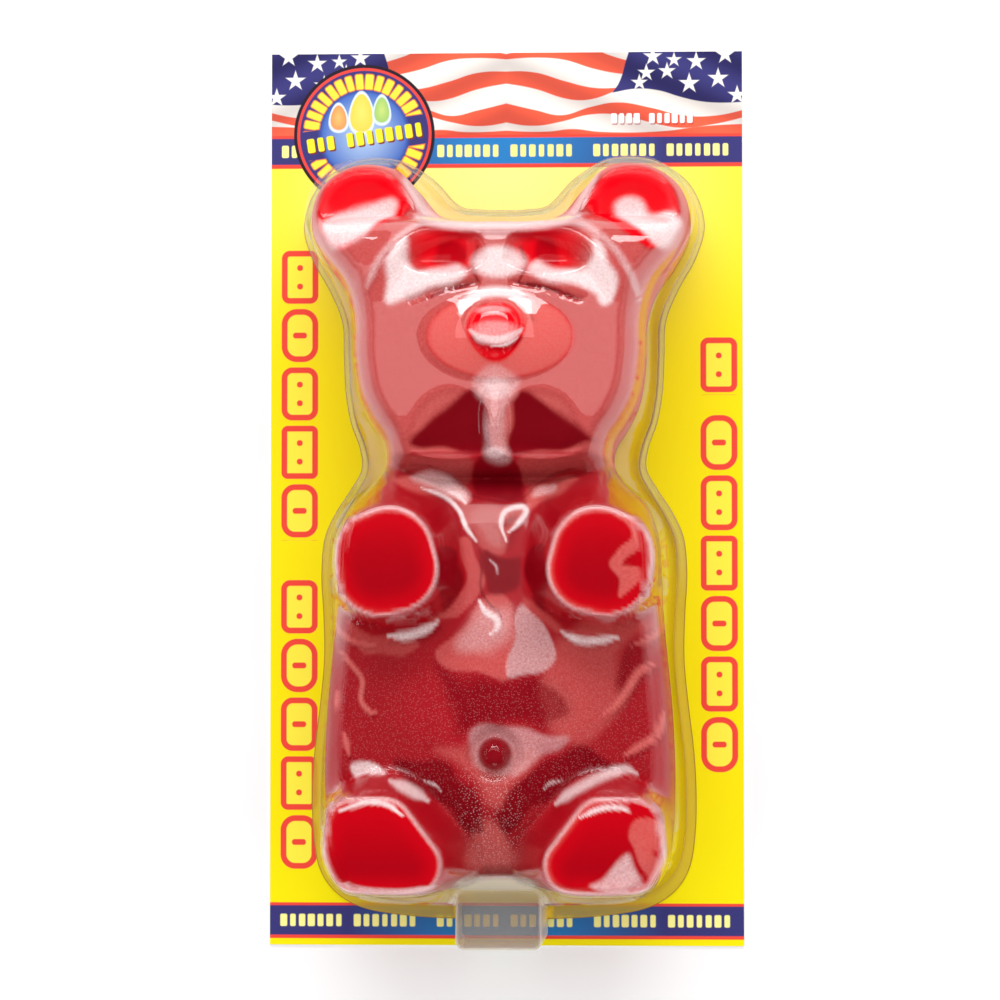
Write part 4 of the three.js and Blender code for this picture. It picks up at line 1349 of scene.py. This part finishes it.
@dataclass
class Studio:
    """Pale floor, soft lights and the camera that looks down on the pack."""

    camera_place: Point = (50, -45, 1200)
    camera_aim: Point = (-2.2, -1.0, 0)
    lens: float = 126.3

    def camera(self) -> None:
        """Places the camera above the pack, its upper edge toward +Y."""
        data = bpy.data.cameras.new("camera")
        data.lens, data.sensor_width, data.clip_start = self.lens, 36, 0.05
        piece = bpy.data.objects.new("camera", data)
        bpy.context.scene.collection.objects.link(piece)
        place, aim = Vector(self.camera_place) * MM, Vector(self.camera_aim) * MM
        back = (place - aim).normalized()
        across = Vector((0, 1, 0)).cross(back).normalized()
        turn = Matrix((across, back.cross(across), back)).transposed()
        piece.matrix_world = Matrix.Translation(place) @ turn.to_4x4()
        bpy.context.scene.camera = piece

    def softbox(self, name: str, place: Point, size: tuple[float, float], power: float, mirrored: bool = True,
                aim: Point = (0, 0, 40)) -> None:
        """Hangs a rectangular light.

        Args:
            name: The light's name.
            place: Its middle.
            size: Its width and height.
            power: Its power in watts.
            mirrored: Whether glossy surfaces mirror it.
            aim: The point it faces.
        """
        data = bpy.data.lights.new(name, "AREA")
        data.shape, data.size, data.size_y, data.energy = "RECTANGLE", size[0] * MM, size[1] * MM, power
        lamp = bpy.data.objects.new(name, data)
        bpy.context.scene.collection.objects.link(lamp)
        lamp.visible_glossy = mirrored
        way = (Vector(aim) - Vector(place)).normalized()
        lamp.matrix_world = Matrix.Translation(Vector(place) * MM) @ way.to_track_quat("-Z", "Y").to_matrix().to_4x4()

    def floor(self) -> None:
        """Lays a pale floor under the pack."""
        half, drop = 4000, 0.05
        vertices = [(x * half, y * half, -drop) for x, y in ((-1, -1), (1, -1), (1, 1), (-1, 1))]
        piece = add_object("studio_floor", vertices, np.array([[0, 1, 2, 3]]), smooth=False)
        tree = Tree("pale_floor")
        grain = tree.noise(30, 2)
        colour = tree.mix((0.9, 0.9, 0.9), (0.94, 0.94, 0.94), grain)
        piece.data.materials.append(tree.finish(tree.principled({"Base Color": colour, "Roughness": 0.8})))

    def world(self) -> None:
        """Sets a white surround that lights the scene but hardly shows in reflections."""
        world = bpy.data.worlds.new("surround")
        bpy.context.scene.world = world
        tree = Tree("surround", world)
        place = tree.node("ShaderNodeTexCoord", output="Generated")
        up = tree.node("ShaderNodeSeparateXYZ", values={0: place}, output=2)
        dim = tree.node("ShaderNodeMapRange", values={0: up, 1: 0.0, 2: 0.3, 3: 0.08, 4: 0.01})
        mirrored = tree.node("ShaderNodeLightPath", output="Is Glossy Ray")
        bright = tree.node("ShaderNodeBackground", values={0: WHITE, 1: 0.55})
        faint = tree.node("ShaderNodeBackground", values={1: dim})
        tree.finish(tree.node("ShaderNodeMixShader", values={0: mirrored, 1: bright, 2: faint}), "World")

    def build(self) -> None:
        """Sets up camera, floor, surround and lights."""
        self.camera()
        self.floor()
        self.world()
        self.softbox("head_light", (0, 1100, 900), (1400, 500), 14)
        self.softbox("left_light", (-1100, 100, 500), (900, 300), 0.7)
        self.softbox("right_light", (1100, 100, 500), (900, 300), 0.5)
        self.softbox("left_fill", (-1100, -300, 700), (900, 500), 2.5, mirrored=False)
        self.softbox("right_fill", (1100, -300, 700), (900, 500), 3, mirrored=False)
        self.softbox("foot_light", (0, -1100, 500), (1100, 500), 4, mirrored=False)
        self.softbox("top_panel", (-60, 552, 1202), (1400, 1000), 4, aim=(-60, 552, 0))
        settings = bpy.context.scene.view_settings
        settings.view_transform, settings.look = "Standard", "None"


def main() -> None:
    """Builds the pack's pieces in order and reports each one."""
    logging.basicConfig(level=logging.INFO, format="%(name)s: %(message)s")
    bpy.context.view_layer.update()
    Studio().build()
    relief = Relief()
    for piece, node, slot in (
        (GummyBear(relief).build(), "bear", "gummy"),
        (Blister(relief).build(), "blister", "clear_film"),
        (PrintedCard().build(), "card", "printed_card"),
    ):
        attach(piece, "root")
        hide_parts(node)
        log.info("%s: %d vertices, %d faces", piece.name, len(piece.data.vertices), len(piece.data.polygons))


if __name__ == "__main__":
    main()
